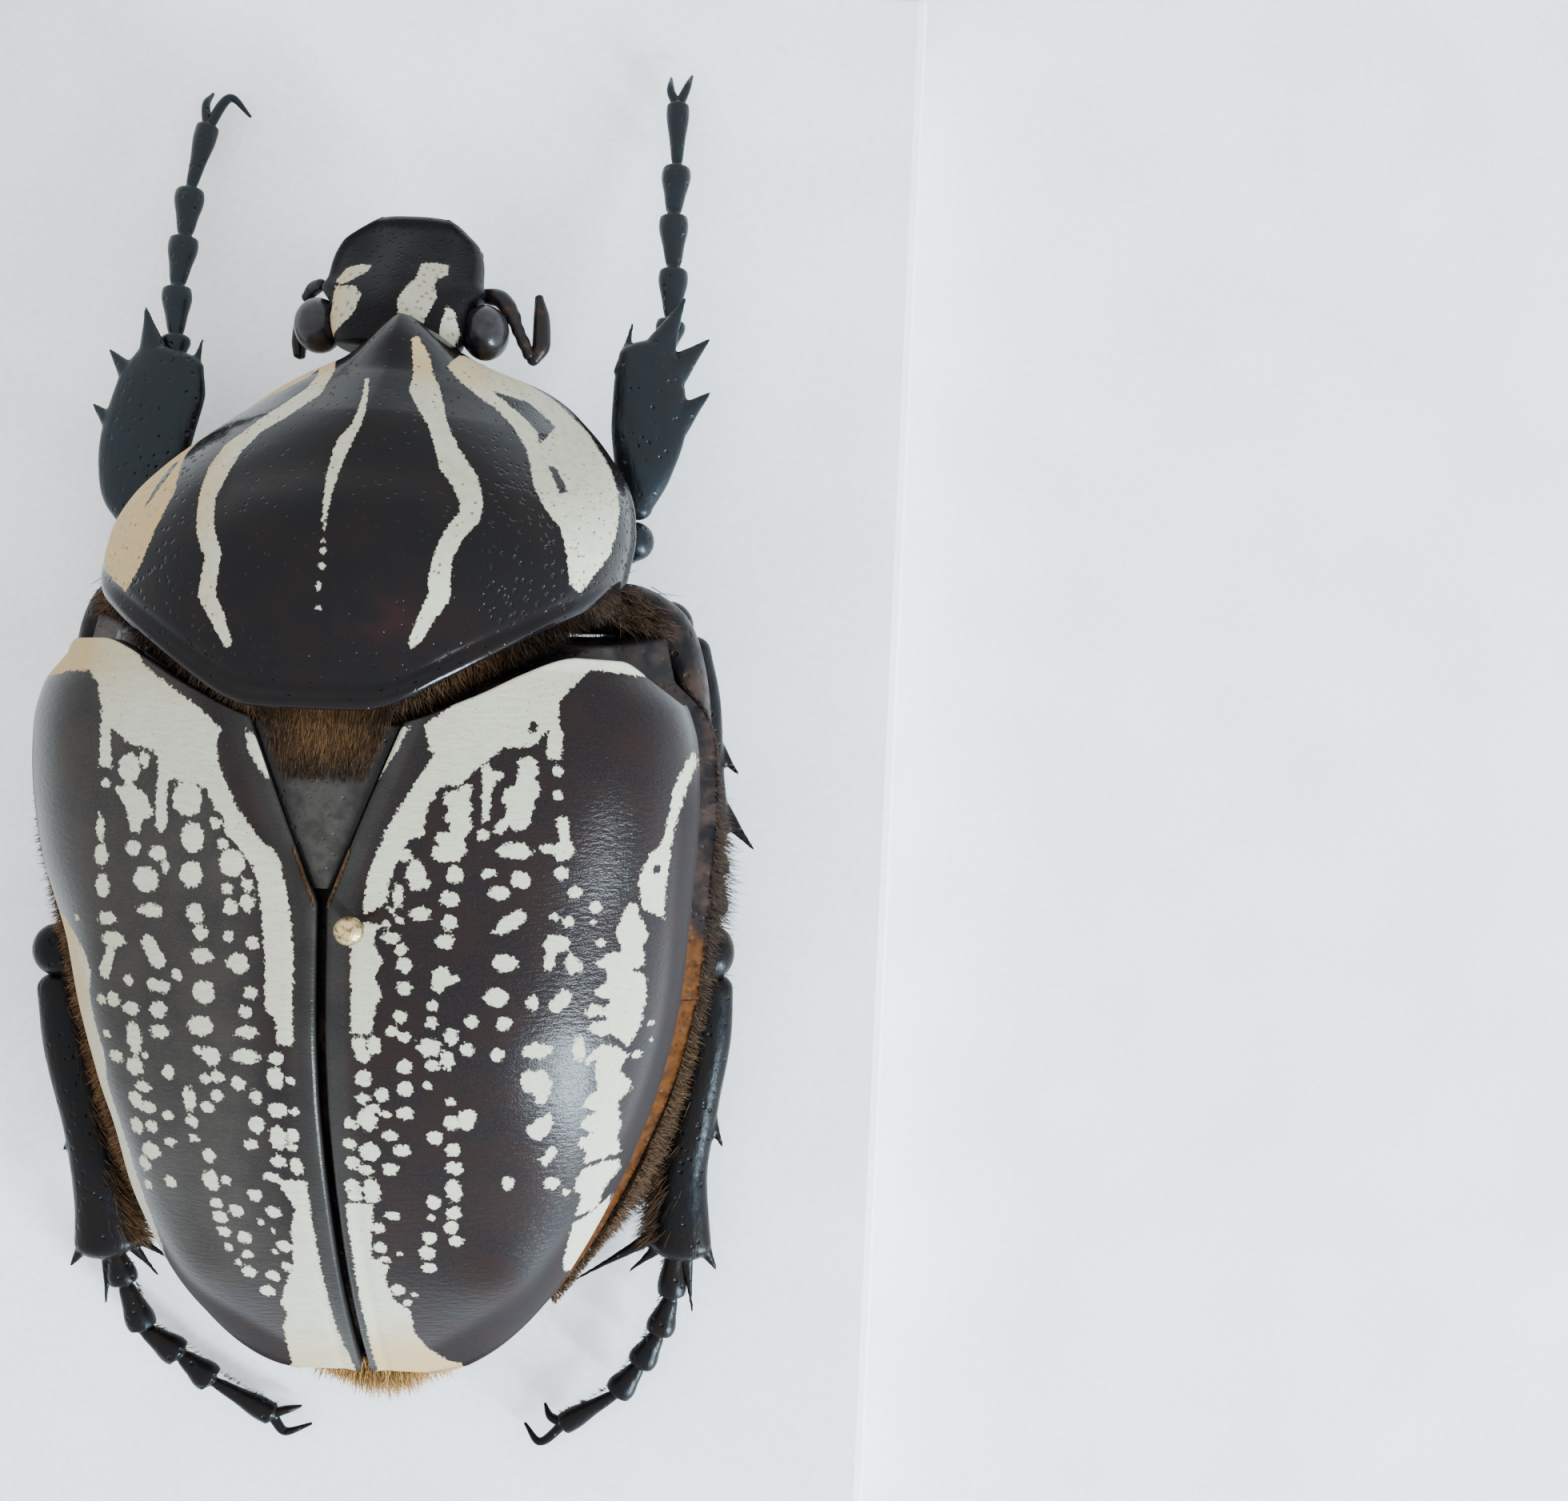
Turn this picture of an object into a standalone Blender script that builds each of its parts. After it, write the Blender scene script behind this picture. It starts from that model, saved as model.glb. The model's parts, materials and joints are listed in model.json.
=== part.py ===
"""A pinned goliath beetle, life size, resting on a small white foam board.

Lengths are in millimetres until a mesh is made, when MM turns them into metres. The board's underside is
the ground. The beetle's own frame has x to its right, y towards its head and h upwards from the board's top.
"""

import math

import bmesh
import bpy
import numpy as np
from mathutils import Vector

MM = 0.001
GAP = 0.3

# Board and pin
BOARD_WIDTH = 60.0
BOARD_LENGTH = 100.0
BOARD_THICKNESS = 8.0
BOARD_EDGE_ROUND = 0.6
PIN_PLACE = (1.95, -8.6)
PIN_SHAFT_RADIUS = 0.28
PIN_HEAD_RADIUS = 0.75
PIN_HEAD_FLATNESS = 0.85
PIN_HOLE_SIDES = 12
PIN_HEAD_HEIGHT = 25.3

# Wing cases
ELYTRA_BASE_Y = 5.0
ELYTRA_LENGTH = 41.2
ELYTRA_HALF_WIDTH = 18.5
ELYTRA_THICKNESS = 0.9
ELYTRA_ROUNDNESS = 2.4
BODY_TOP = 24.0
MARGIN_BASE_HEIGHT = 15.0
APEX_HEIGHT = 8.8
SCUTELLUM_TIP_Y = -7.6
SCUTELLUM_SPREAD = 0.385
SCUTELLUM_FRONT_Y = 1.8
SCUTELLUM_THICKNESS = 1.0
SCUTELLUM_BLUNT = 0.9
SCUTELLUM_DOME = 0.25

# Share of the length from base to apex, then share of the half width
ELYTRA_OUTLINE = (
    (0.0, 0.885), (0.044, 0.962), (0.097, 0.993), (0.17, 1.0), (0.32, 0.98), (0.437, 0.957), (0.56, 0.903),
    (0.68, 0.812), (0.777, 0.714), (0.85, 0.622), (0.922, 0.5), (0.972, 0.375), (0.992, 0.295), (1.0, 0.23),
)
# Share of the length, then share of the rise from the apex to the highest point
ELYTRA_RIDGE = (
    (0.0, 1.0), (0.17, 0.995), (0.315, 0.95), (0.46, 0.905), (0.55, 0.835), (0.64, 0.725), (0.738, 0.572),
    (0.828, 0.408), (0.915, 0.217), (1.0, 0.0),
)
# Share of the length, then share of the rise from the apex to the margin's front end
ELYTRA_MARGIN = (
    (0.0, 1.0), (0.12, 0.96), (0.22, 0.8), (0.32, 0.55), (0.44, 0.26), (0.56, 0.12), (0.73, 0.1), (1.0, 0.0),
)
# Share of the half width, then how far the front edge stands from ELYTRA_BASE_Y
ELYTRA_FRONT_EDGE = (
    (0.0, -3.6), (0.2, -3.1), (0.4, -1.7), (0.6, -0.2), (0.76, 0.7), (0.88, 0.7), (0.95, 0.1), (1.0, -1.4),
)
SHOULDER_BOSS = (14.2, 0.5, 3.4, 0.45)
APICAL_BOSS = (8.6, -29.6, 3.0, 0.6)

# The prothorax and the head sit a little to the left of the hind body
PROTHORAX_SHIFT = -0.55
HEAD_SHIFT = -0.2
PRONOTUM_FRONT_Y = 23.1
PRONOTUM_CORNER_Y = 9.6
PRONOTUM_HALF_WIDTH = 14.4
PRONOTUM_SWAY = 1.5
LOBE_START = 0.35
PROSTERNUM_HEIGHT = 5.5
PROSTERNUM_RISE = 1.4
# Share of the way from the front edge to the hind corner, then share of the half width
PRONOTUM_OUTLINE = (
    (0.0, 0.22), (0.04, 0.35), (0.095, 0.485), (0.168, 0.595), (0.24, 0.67), (0.314, 0.74), (0.387, 0.8),
    (0.533, 0.905), (0.68, 0.965), (0.82, 0.99), (0.93, 0.99), (1.0, 0.97),
)
# Share of the same way, then height of the crest and of the side margin
PRONOTUM_CREST = (
    (0.0, 15.6), (0.12, 17.7), (0.27, 19.8), (0.44, 22.1), (0.62, 24.5), (0.8, 25.4), (1.0, 25.5),
)
PRONOTUM_MARGIN = ((0.0, 8.8), (0.25, 9.6), (0.5, 11.6), (0.7, 13.4), (0.85, 14.2), (1.0, 14.5))
# Share of the same way, then how squarely the cross section is rounded
PRONOTUM_ROUNDNESS = ((0.0, 1.45), (0.25, 1.5), (0.5, 1.75), (0.75, 2.05), (1.0, 2.15))
# Share of the half width, then how far the hind edge lies behind the hind corners
PRONOTUM_LOBE = (
    (0.0, 7.2), (0.2, 7.15), (0.3, 6.75), (0.46, 5.5), (0.62, 4.1), (0.81, 2.4), (0.94, 1.1), (1.0, 0.0),
)

# Head, in the same frame as the prothorax
HEAD_FRONT_Y = 32.0
HEAD_REAR_Y = 23.6
EYE_PLACE = (4.85, 24.9, 10.2)
EYE_RADII = (1.4, 1.6, 1.6)
# Share of the way from neck to front edge, then half width
HEAD_OUTLINE = (
    (0.0, 3.9), (0.12, 4.4), (0.34, 4.55), (0.45, 4.7), (0.52, 4.4), (0.64, 4.35), (0.78, 3.95), (0.89, 3.05),
    (0.95, 2.3), (1.0, 1.4),
)
HEAD_CROWN = ((0.0, 13.4), (0.2, 13.1), (0.45, 11.8), (0.7, 10.2), (0.9, 9.0), (1.0, 8.3))
HEAD_UNDERSIDE = ((0.0, 7.2), (0.3, 6.4), (0.6, 6.5), (0.85, 7.0), (1.0, 7.4))

# Body under the wing cases
THORAX_FRONT_Y = 7.5
THORAX_PULL = 5.7
BODY_AXIS_HEIGHT = 5.6
LEDGE_DEPTH = 0.6
SIDE_DEPTH = 2.4
PYGIDIUM_DROP = 0.9
PYGIDIUM_REACH = 1.9
BELLY_HEIGHT = 2.4
ABDOMEN_FRONT_Y = -13.6
ABDOMEN_END_Y = -37.9
ROOF_INSET = 1.6
# Share of the abdomen's length, then share of its full section
ABDOMEN_TAPER = ((0.0, 1.0), (0.84, 1.0), (0.91, 0.93), (0.96, 0.76), (0.985, 0.55), (1.0, 0.3))
# Share of the abdomen's length, then how far the belly has risen
ABDOMEN_RISE = ((0.0, 0.0), (0.4, -0.4), (0.75, 0.3), (1.0, 1.6))
SIDE_BULGE = 0.4
STERNITE_COUNT = 6
STERNITE_STEP = 0.28

# Legs
TOOTH_FLATNESS = 0.7
TARSUS_FLATNESS = 0.85
CLAW_RADII = (0.3, 0.24, 0.1)

BLACK = (0.012, 0.011, 0.013)
BROWN_BLACK = (0.035, 0.024, 0.02)
RUST = (0.2, 0.07, 0.018)
BRASS = (0.72, 0.5, 0.2)
WHITE = (0.86, 0.88, 0.88)


def curve_through(stations):
    """A smooth function through (place, value) stations that never overshoots a value."""
    xs = np.array([s[0] for s in stations], float)
    ys = np.array([s[1] for s in stations], float)
    step = np.diff(xs)
    rate = np.diff(ys) / step
    slope = np.zeros(len(xs))
    slope[0], slope[-1] = rate[0], rate[-1]
    for i in range(1, len(xs) - 1):
        if rate[i - 1] * rate[i] > 0:
            w1 = 2 * step[i] + step[i - 1]
            w2 = step[i] + 2 * step[i - 1]
            slope[i] = (w1 + w2) / (w1 / rate[i - 1] + w2 / rate[i])

    def value(at):
        at = np.clip(at, xs[0], xs[-1])
        i = np.clip(np.searchsorted(xs, at, side="right") - 1, 0, len(xs) - 2)
        t = (at - xs[i]) / step[i]
        rise = ys[i + 1] - ys[i]
        bend_in = step[i] * slope[i]
        bend_out = step[i] * slope[i + 1]
        cubic = bend_in + bend_out - 2 * rise
        square = 3 * rise - 2 * bend_in - bend_out
        return ys[i] + t * (bend_in + t * (square + t * cubic))

    return value


elytra_outline = curve_through(ELYTRA_OUTLINE)
elytra_ridge = curve_through(ELYTRA_RIDGE)
elytra_margin = curve_through(ELYTRA_MARGIN)
elytra_front_edge = curve_through(ELYTRA_FRONT_EDGE)
pronotum_outline = curve_through(PRONOTUM_OUTLINE)
pronotum_crest = curve_through(PRONOTUM_CREST)
pronotum_margin = curve_through(PRONOTUM_MARGIN)
pronotum_roundness = curve_through(PRONOTUM_ROUNDNESS)
pronotum_lobe = curve_through(PRONOTUM_LOBE)
abdomen_taper = curve_through(ABDOMEN_TAPER)
abdomen_rise = curve_through(ABDOMEN_RISE)


def along(y):
    """Share of the wing cases' length at y."""
    return (ELYTRA_BASE_Y - y) / ELYTRA_LENGTH


def half_width(y):
    return ELYTRA_HALF_WIDTH * elytra_outline(along(y))


def ridge_height(y):
    return APEX_HEIGHT + (BODY_TOP - APEX_HEIGHT) * elytra_ridge(along(y))


def margin_height(y):
    return APEX_HEIGHT + (MARGIN_BASE_HEIGHT - APEX_HEIGHT) * elytra_margin(along(y))


def power(value, exponent):
    return math.copysign(abs(value) ** exponent, value)


def boss(x, y, place):
    """Height of a low round swelling given as (x, y, radius, height)."""
    return place[3] * math.exp(-((x - place[0]) ** 2 + (y - place[1]) ** 2) / place[2] ** 2)


def wing_surface(angle, y):
    """Point of the right wing case's outer face, from the midline (0) to the margin (a right angle)."""
    x = half_width(y) * power(math.sin(angle), 2 / ELYTRA_ROUNDNESS)
    low = margin_height(y)
    h = low + (ridge_height(y) - low) * power(math.cos(angle), 2 / ELYTRA_ROUNDNESS)
    return Vector((x, y, h + boss(x, y, SHOULDER_BOSS) + boss(x, y, APICAL_BOSS)))


def scutellum_half_width(y):
    return max(0.0, SCUTELLUM_SPREAD * (y - SCUTELLUM_TIP_Y))


def new_mesh(name, points, faces):
    mesh = bpy.data.meshes.new(name)
    mesh.from_pydata([tuple(c * MM for c in p) for p in points], [], faces)
    mesh.update()
    return mesh


def new_object(name, mesh, parent, collection):
    obj = bpy.data.objects.new(name, mesh)
    collection.objects.link(obj)
    obj.parent = parent
    return obj


def face_outwards(mesh):
    shape = bmesh.new()
    shape.from_mesh(mesh)
    bmesh.ops.recalc_face_normals(shape, faces=shape.faces)
    shape.to_mesh(mesh)
    shape.free()


def loft(name, rings, front_centre=None, rear_centre=None):
    """A closed mesh through rings of equal count, with each end closed by a fan about a centre."""
    count = len(rings[0])
    points = [p for ring in rings for p in ring]
    faces = []
    for r in range(len(rings) - 1):
        for k in range(count):
            n = (k + 1) % count
            faces.append((r * count + k, r * count + n, (r + 1) * count + n, (r + 1) * count + k))
    for ring_at, centre in ((0, front_centre), (len(rings) - 1, rear_centre)):
        ring = rings[ring_at]
        points.append(centre if centre is not None else sum(ring, Vector()) / count)
        tip = len(points) - 1
        first = ring_at * count
        faces += [(first + k, first + (k + 1) % count, tip) for k in range(count)]
    mesh = new_mesh(name, points, faces)
    face_outwards(mesh)
    return mesh


def resample(keys, count):
    """Rows of numbers spaced evenly along the length of the first three, through the key rows."""
    rows = np.array(keys, float)
    steps = np.linalg.norm(np.diff(rows[:, :3], axis=0), axis=1)
    at = np.concatenate([[0.0], np.cumsum(steps)])
    wanted = np.linspace(0.0, at[-1], count)
    columns = [curve_through(list(zip(at, rows[:, c])))(wanted) for c in range(rows.shape[1])]
    return np.stack(columns, axis=1)


def limb(name, keys, count, sides, rounded=(True, True)):
    """A closed limb through keys of (x, y, h, half width across, half thickness), with rounded ends."""
    rows = resample(keys, count)
    points = [Vector(r[:3]) for r in rows]
    rings = []
    for i, row in enumerate(rows):
        ahead = points[min(i + 1, count - 1)] - points[max(i - 1, 0)]
        ahead.normalize()
        across = ahead.cross(Vector((0, 0, 1)))
        across = across.normalized() if across.length > 0.05 else Vector((1, 0, 0))
        upwards = across.cross(ahead)
        rings.append(
            [
                points[i]
                + across * (row[3] * math.cos(2 * math.pi * k / sides))
                + upwards * (row[4] * math.sin(2 * math.pi * k / sides))
                for k in range(sides)
            ]
        )
    for end, order in ((rounded[0], 0), (rounded[1], -1)):
        if end:
            add_dome(rings, points, rows, order)
    return loft(name, rings)


def add_dome(rings, points, rows, order):
    """Closes a limb's first or last ring with two smaller rings, like half an egg."""
    inner = 1 if order == 0 else -2
    outward = (points[order] - points[inner]).normalized()
    reach = min(rows[order][3], rows[order][4])
    centre = points[order]
    base = list(rings[order])
    for angle in (35, 68):
        turn = math.radians(angle)
        ring = [centre + (p - centre) * math.cos(turn) + outward * (reach * math.sin(turn)) for p in base]
        if order == 0:
            rings.insert(0, ring)
        else:
            rings.append(ring)


def tooth(root, tip, radius):
    """A tapered tooth or spine from root to tip, wider than it is thick."""
    root, tip = Vector(root), Vector(tip)
    keys = ((root, 1.0), ((root + tip) / 2, 0.62), (tip, 0.16))
    rows = [(*p, radius * share, radius * share * TOOTH_FLATNESS) for p, share in keys]
    return limb("tooth", rows, 4, 6, rounded=(False, False))


def largest_body(mesh):
    """Keeps only the largest closed surface of the mesh."""
    shape = bmesh.new()
    shape.from_mesh(mesh)
    left = set(shape.faces)
    bodies = []
    while left:
        seed = left.pop()
        body, queue = {seed}, [seed]
        while queue:
            face = queue.pop()
            for edge in face.edges:
                for other in edge.link_faces:
                    if other in left:
                        left.discard(other)
                        body.add(other)
                        queue.append(other)
        bodies.append(body)
    bodies.sort(key=lambda body: sum(face.calc_area() for face in body))
    spare = [face for body in bodies[:-1] for face in body]
    bmesh.ops.delete(shape, geom=spare, context="FACES")
    shape.to_mesh(mesh)
    shape.free()


def combine(main, others, operation):
    """Applies one Boolean of a collection of closed meshes to the main mesh."""
    group = bpy.data.collections.new("pieces")
    bpy.context.scene.collection.children.link(group)
    host = new_object("host", main, None, bpy.context.scene.collection)
    for mesh in others:
        new_object("piece", mesh, None, group)
    join = host.modifiers.new("Join", "BOOLEAN")
    join.operation = operation
    join.operand_type = "COLLECTION"
    join.collection = group
    graph = bpy.context.evaluated_depsgraph_get()
    graph.update()
    joined = bpy.data.meshes.new_from_object(host.evaluated_get(graph), depsgraph=graph)
    joined.name = main.name
    for piece in list(group.objects):
        bpy.data.objects.remove(piece)
    bpy.data.collections.remove(group)
    bpy.data.objects.remove(host)
    largest_body(joined)
    return joined


def material(name, colour, roughness, metallic=0.0):
    made = bpy.data.materials.new(name)
    made.use_nodes = True
    shader = made.node_tree.nodes["Principled BSDF"]
    shader.inputs["Base Color"].default_value = (*colour, 1.0)
    shader.inputs["Roughness"].default_value = roughness
    shader.inputs["Metallic"].default_value = metallic
    return made


def finish_object(obj, finish, sharp=40):
    obj.data.materials.clear()
    obj.data.materials.append(finish)
    obj.data.shade_smooth()
    obj.data.set_sharp_from_angle(angle=math.radians(sharp))


def mirrored(keys, side):
    """Keys with x turned to that side of the body: 1 is the right, -1 the left."""
    return [(side * k[0], *k[1:]) for k in keys]


def build_board(body, finish):
    shape = bmesh.new()
    bmesh.ops.create_cube(shape, size=1.0)
    size = (BOARD_WIDTH * MM, BOARD_LENGTH * MM, BOARD_THICKNESS * MM)
    bmesh.ops.scale(shape, vec=size, verts=shape.verts)
    mesh = bpy.data.meshes.new("foam_board")
    shape.to_mesh(mesh)
    shape.free()
    board = new_object("foam_board", mesh, None, body)
    board.location.z = BOARD_THICKNESS * MM / 2
    edges = board.modifiers.new("Soft edges", "BEVEL")
    edges.width = BOARD_EDGE_ROUND * MM
    edges.segments = 2
    finish_object(board, finish)


def elytron_grid(side, across, lengthwise):
    """Points of one wing case's outer face as rows from the front edge to the apex."""
    exponent = ELYTRA_ROUNDNESS / 2
    inner_front_y = ELYTRA_BASE_Y + float(elytra_front_edge(0.2))
    rows = []
    for j in range(lengthwise + 1):
        v = math.sin(0.5 * math.pi * j / lengthwise) ** 1.15
        inner_y = inner_front_y + (ELYTRA_BASE_Y - ELYTRA_LENGTH - inner_front_y) * v
        inner_x = max(scutellum_half_width(inner_y) + GAP, GAP / 2)
        first = math.asin((inner_x / half_width(inner_y)) ** exponent)
        front = math.asin(((scutellum_half_width(inner_front_y) + GAP) / half_width(inner_front_y)) ** exponent)
        row = []
        for i in range(across + 1):
            u = i / across
            angle_front = front + (math.pi / 2 - front) * u
            share = power(math.sin(angle_front), 1 / exponent)
            front_y = ELYTRA_BASE_Y + float(elytra_front_edge(share))
            y = front_y + (ELYTRA_BASE_Y - ELYTRA_LENGTH - front_y) * v
            point = wing_surface(first + (math.pi / 2 - first) * u, y)
            point.x = max(point.x, GAP / 2) * side
            row.append(point)
        rows.append(row)
    return rows


def build_elytron(side, name, parent, body, finish):
    rows = elytron_grid(side, across=12, lengthwise=20)
    width = len(rows[0])
    points = [p for row in rows for p in row]
    faces = []
    for j in range(len(rows) - 1):
        for i in range(width - 1):
            a = j * width + i
            face = (a, a + width, a + width + 1, a + 1)
            faces.append(face if side > 0 else face[::-1])
    elytron = new_object(name, new_mesh(name, points, faces), parent, body)
    shell = elytron.modifiers.new("Shell", "SOLIDIFY")
    shell.thickness = ELYTRA_THICKNESS * MM
    shell.offset = -1.0
    shell.use_even_offset = True
    if side > 0:
        hole = elytron.modifiers.new("Pin hole", "BOOLEAN")
        hole.operation = "DIFFERENCE"
        hole.object = pin_hole_cutter(parent)
    finish_object(elytron, finish, sharp=50)


def pin_hole_cutter(parent):
    """A helper that cuts the hole which the pin passes through."""
    cutters = bpy.data.collections.new("cutters")
    bpy.context.scene.collection.children.link(cutters)
    height = ridge_height(PIN_PLACE[1])
    rings = [
        [
            Vector(
                (
                    PIN_PLACE[0] + (PIN_SHAFT_RADIUS + GAP) * math.cos(2 * math.pi * k / PIN_HOLE_SIDES),
                    PIN_PLACE[1] + (PIN_SHAFT_RADIUS + GAP) * math.sin(2 * math.pi * k / PIN_HOLE_SIDES),
                    h,
                )
            )
            for k in range(PIN_HOLE_SIDES)
        ]
        for h in (height - 3 * ELYTRA_THICKNESS, height + 2 * ELYTRA_THICKNESS)
    ]
    cutter = new_object("pin_hole_cutter", loft("pin_hole_cutter", rings), parent, cutters)
    cutter.hide_render = True
    cutter.display_type = "WIRE"
    return cutter


def build_pin(parent, body, finish):
    """A turned pin: a round head on a shaft that ends inside the wing case's hole."""
    low = ridge_height(PIN_PLACE[1]) - ELYTRA_THICKNESS
    high = PIN_HEAD_HEIGHT - PIN_HEAD_RADIUS * 0.8
    half_height = PIN_HEAD_RADIUS * PIN_HEAD_FLATNESS
    profile = [(0.0, PIN_HEAD_HEIGHT + half_height)]
    for angle in range(65, -60, -25):
        turn = math.radians(angle)
        profile.append((PIN_HEAD_RADIUS * math.cos(turn), PIN_HEAD_HEIGHT + half_height * math.sin(turn)))
    profile += [(PIN_SHAFT_RADIUS, high), (PIN_SHAFT_RADIUS, low), (0.0, low)]
    points = [(x, 0.0, h) for x, h in profile]
    pin = new_object("pin", new_mesh("pin", points, []), parent, body)
    shape = bmesh.new()
    shape.from_mesh(pin.data)
    shape.verts.ensure_lookup_table()
    for a in range(len(points) - 1):
        shape.edges.new((shape.verts[a], shape.verts[a + 1]))
    shape.to_mesh(pin.data)
    shape.free()
    pin.location = (PIN_PLACE[0] * MM, PIN_PLACE[1] * MM, 0.0)
    turned = pin.modifiers.new("Turned", "SCREW")
    turned.steps = turned.render_steps = 10
    turned.use_merge_vertices = True
    turned.merge_threshold = 0.00001
    pin.data.materials.append(finish)


def build_scutellum(parent, body, finish):
    """The triangular plate between the wing cases' roots, low and slightly domed."""
    rings = []
    for j in range(9):
        y = SCUTELLUM_FRONT_Y + (SCUTELLUM_TIP_Y + SCUTELLUM_BLUNT - SCUTELLUM_FRONT_Y) * j / 8
        half = scutellum_half_width(y)
        top = ridge_height(y) - 0.05
        ring = [
            Vector((half * s, y, top - SCUTELLUM_DOME * abs(s) ** 3))
            for s in (-1, -0.7, -0.35, 0, 0.35, 0.7, 1)
        ]
        ring += [Vector((half * s, y, top - SCUTELLUM_THICKNESS)) for s in (1, 0.35, -0.35, -1)]
        rings.append(ring)
    finish_object(new_object("scutellum", loft("scutellum", rings), parent, body), finish)


def pronotum_ring(t, sides):
    """Ring of the prothorax at share t from its front edge (0) to its hind corners (1)."""
    width = PRONOTUM_HALF_WIDTH * float(pronotum_outline(t))
    y = PRONOTUM_FRONT_Y + (PRONOTUM_CORNER_Y - PRONOTUM_FRONT_Y) * t
    sway = PRONOTUM_SWAY * (1 - t**1.6)
    margin = float(pronotum_margin(t))
    bend = 2 / float(pronotum_roundness(t))
    rise = float(pronotum_crest(t)) - margin
    drop = margin - PROSTERNUM_HEIGHT - PROSTERNUM_RISE * (1 - t) ** 1.5
    lobe_share = max(0.0, (t - LOBE_START) / (1 - LOBE_START)) ** 1.4
    ring = []
    for k in range(sides):
        angle = 2 * math.pi * k / sides
        lift = math.cos(angle)
        if lift >= 0:
            share = power(math.sin(angle), bend)
            back = float(pronotum_lobe(abs(share))) * lobe_share
            h = margin + rise * power(lift, bend)
            ring.append(Vector((width * share + sway, y - back, h)))
        else:
            tuck = width * power(math.sin(angle), 1.3)
            ring.append(Vector((tuck + sway, y, margin + drop * power(lift, 1.25))))
    return ring


def build_prothorax(parent, body, finish):
    rings = [pronotum_ring(j / 15, 40) for j in range(16)]
    mesh = loft(
        "prothorax",
        rings,
        front_centre=Vector((PRONOTUM_SWAY, PRONOTUM_FRONT_Y - 0.6, 11.5)),
        rear_centre=Vector((0.0, PRONOTUM_CORNER_Y - 1.4, 12.5)),
    )
    finish_object(new_object("prothorax", mesh, parent, body), finish)


def head_ring(y, half, top, low, sides):
    """Flattened ring of the head: a gently domed plate above, a rounded box below."""
    ring = []
    for k in range(sides):
        angle = 2 * math.pi * k / sides
        middle = top - 0.38 * (top - low)
        lift = math.cos(angle)
        rise = (top - middle) if lift >= 0 else (middle - low)
        x = half * power(math.sin(angle), 0.72)
        ring.append(Vector((x, y, middle + rise * power(lift, 0.8 if lift >= 0 else 1.0))))
    return ring


def build_head(parent, body, finish):
    """Head from the neck to the clypeus, with a socket for each eye."""
    reach = HEAD_FRONT_Y - HEAD_REAR_Y
    outline, crown, under = (curve_through(line) for line in (HEAD_OUTLINE, HEAD_CROWN, HEAD_UNDERSIDE))
    rings = []
    for j in range(15):
        t = (j / 14) ** 0.9
        rings.append(head_ring(HEAD_REAR_Y + reach * t, outline(t), crown(t), under(t), 26))
    sockets = [eye_mesh(side, GAP) for side in (1, -1)]
    mesh = combine(loft("head", rings), sockets, "DIFFERENCE")
    finish_object(new_object("head", mesh, parent, body), finish)


def eye_mesh(side, grown=0.0):
    shape = bmesh.new()
    bmesh.ops.create_uvsphere(shape, u_segments=12, v_segments=8, radius=MM)
    bmesh.ops.scale(shape, vec=[r + grown for r in EYE_RADII], verts=shape.verts)
    place = Vector((side * EYE_PLACE[0], EYE_PLACE[1], EYE_PLACE[2])) * MM
    bmesh.ops.translate(shape, vec=place, verts=shape.verts)
    mesh = bpy.data.meshes.new("eye")
    shape.to_mesh(mesh)
    shape.free()
    return mesh


def build_antenna(side, name, keys, club_keys, parent, body, finish):
    stalk = limb(name, mirrored(keys, side), 9, 6)
    finish_object(new_object(name, stalk, parent, body), finish)
    club = limb(name + "_club", mirrored(club_keys, side), 6, 8)
    finish_object(new_object(name + "_club", club, parent, body), finish)


def build_mouthparts(parent, body, finish):
    """Chin plate under the head with a palp at each side."""
    plate = limb(
        "mouthparts",
        ((0, 25.6, 5.1, 1.9, 0.55), (0, 28.0, 5.3, 2.6, 0.7), (0, 30.2, 5.7, 2.0, 0.55)),
        6,
        10,
    )
    palps = [
        limb(
            "palp",
            mirrored(
                ((2.0, 28.2, 5.2, 0.3, 0.3), (3.1, 29.4, 5.0, 0.36, 0.36), (3.2, 30.6, 5.2, 0.42, 0.42)), side
            ),
            5,
            6,
        )
        for side in (1, -1)
    ]
    mesh = combine(plate, palps, "UNION")
    finish_object(new_object("mouthparts", mesh, parent, body), finish)


def body_ring(y, upper, lower, lower_power, sides):
    """Ring of the body: a roof within the wing cases, and a belly that bulges past their rim.

    The roof is (half width, ledge height, top height) and the belly is (half width, side height, floor height).
    """
    quarter = sides // 4
    right = []
    for k in range(quarter + 1):
        angle = 0.5 * math.pi * k / quarter
        x = upper[0] * power(math.sin(angle), 2 / ELYTRA_ROUNDNESS)
        right.append((x, upper[1] + (upper[2] - upper[1]) * power(math.cos(angle), 2 / ELYTRA_ROUNDNESS)))
    for k in range(1, quarter + 1):
        angle = 0.5 * math.pi * (k - 0.55) / (quarter - 0.55)
        x = lower[0] * power(math.cos(angle), 2 / lower_power)
        right.append((x, lower[1] - (lower[1] - lower[2]) * power(math.sin(angle), 2 / lower_power)))
    right[-1] = (0.0, lower[2])
    return [Vector((x, y, h)) for x, h in right] + [Vector((-x, y, h)) for x, h in right[-2:0:-1]]


def lean_share(x):
    """How far a front edge point is pulled back to follow the pronotum's hind lobe."""
    return float(pronotum_lobe(min(abs(x) / PRONOTUM_HALF_WIDTH, 1.0))) / PRONOTUM_LOBE[0][1]


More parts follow.
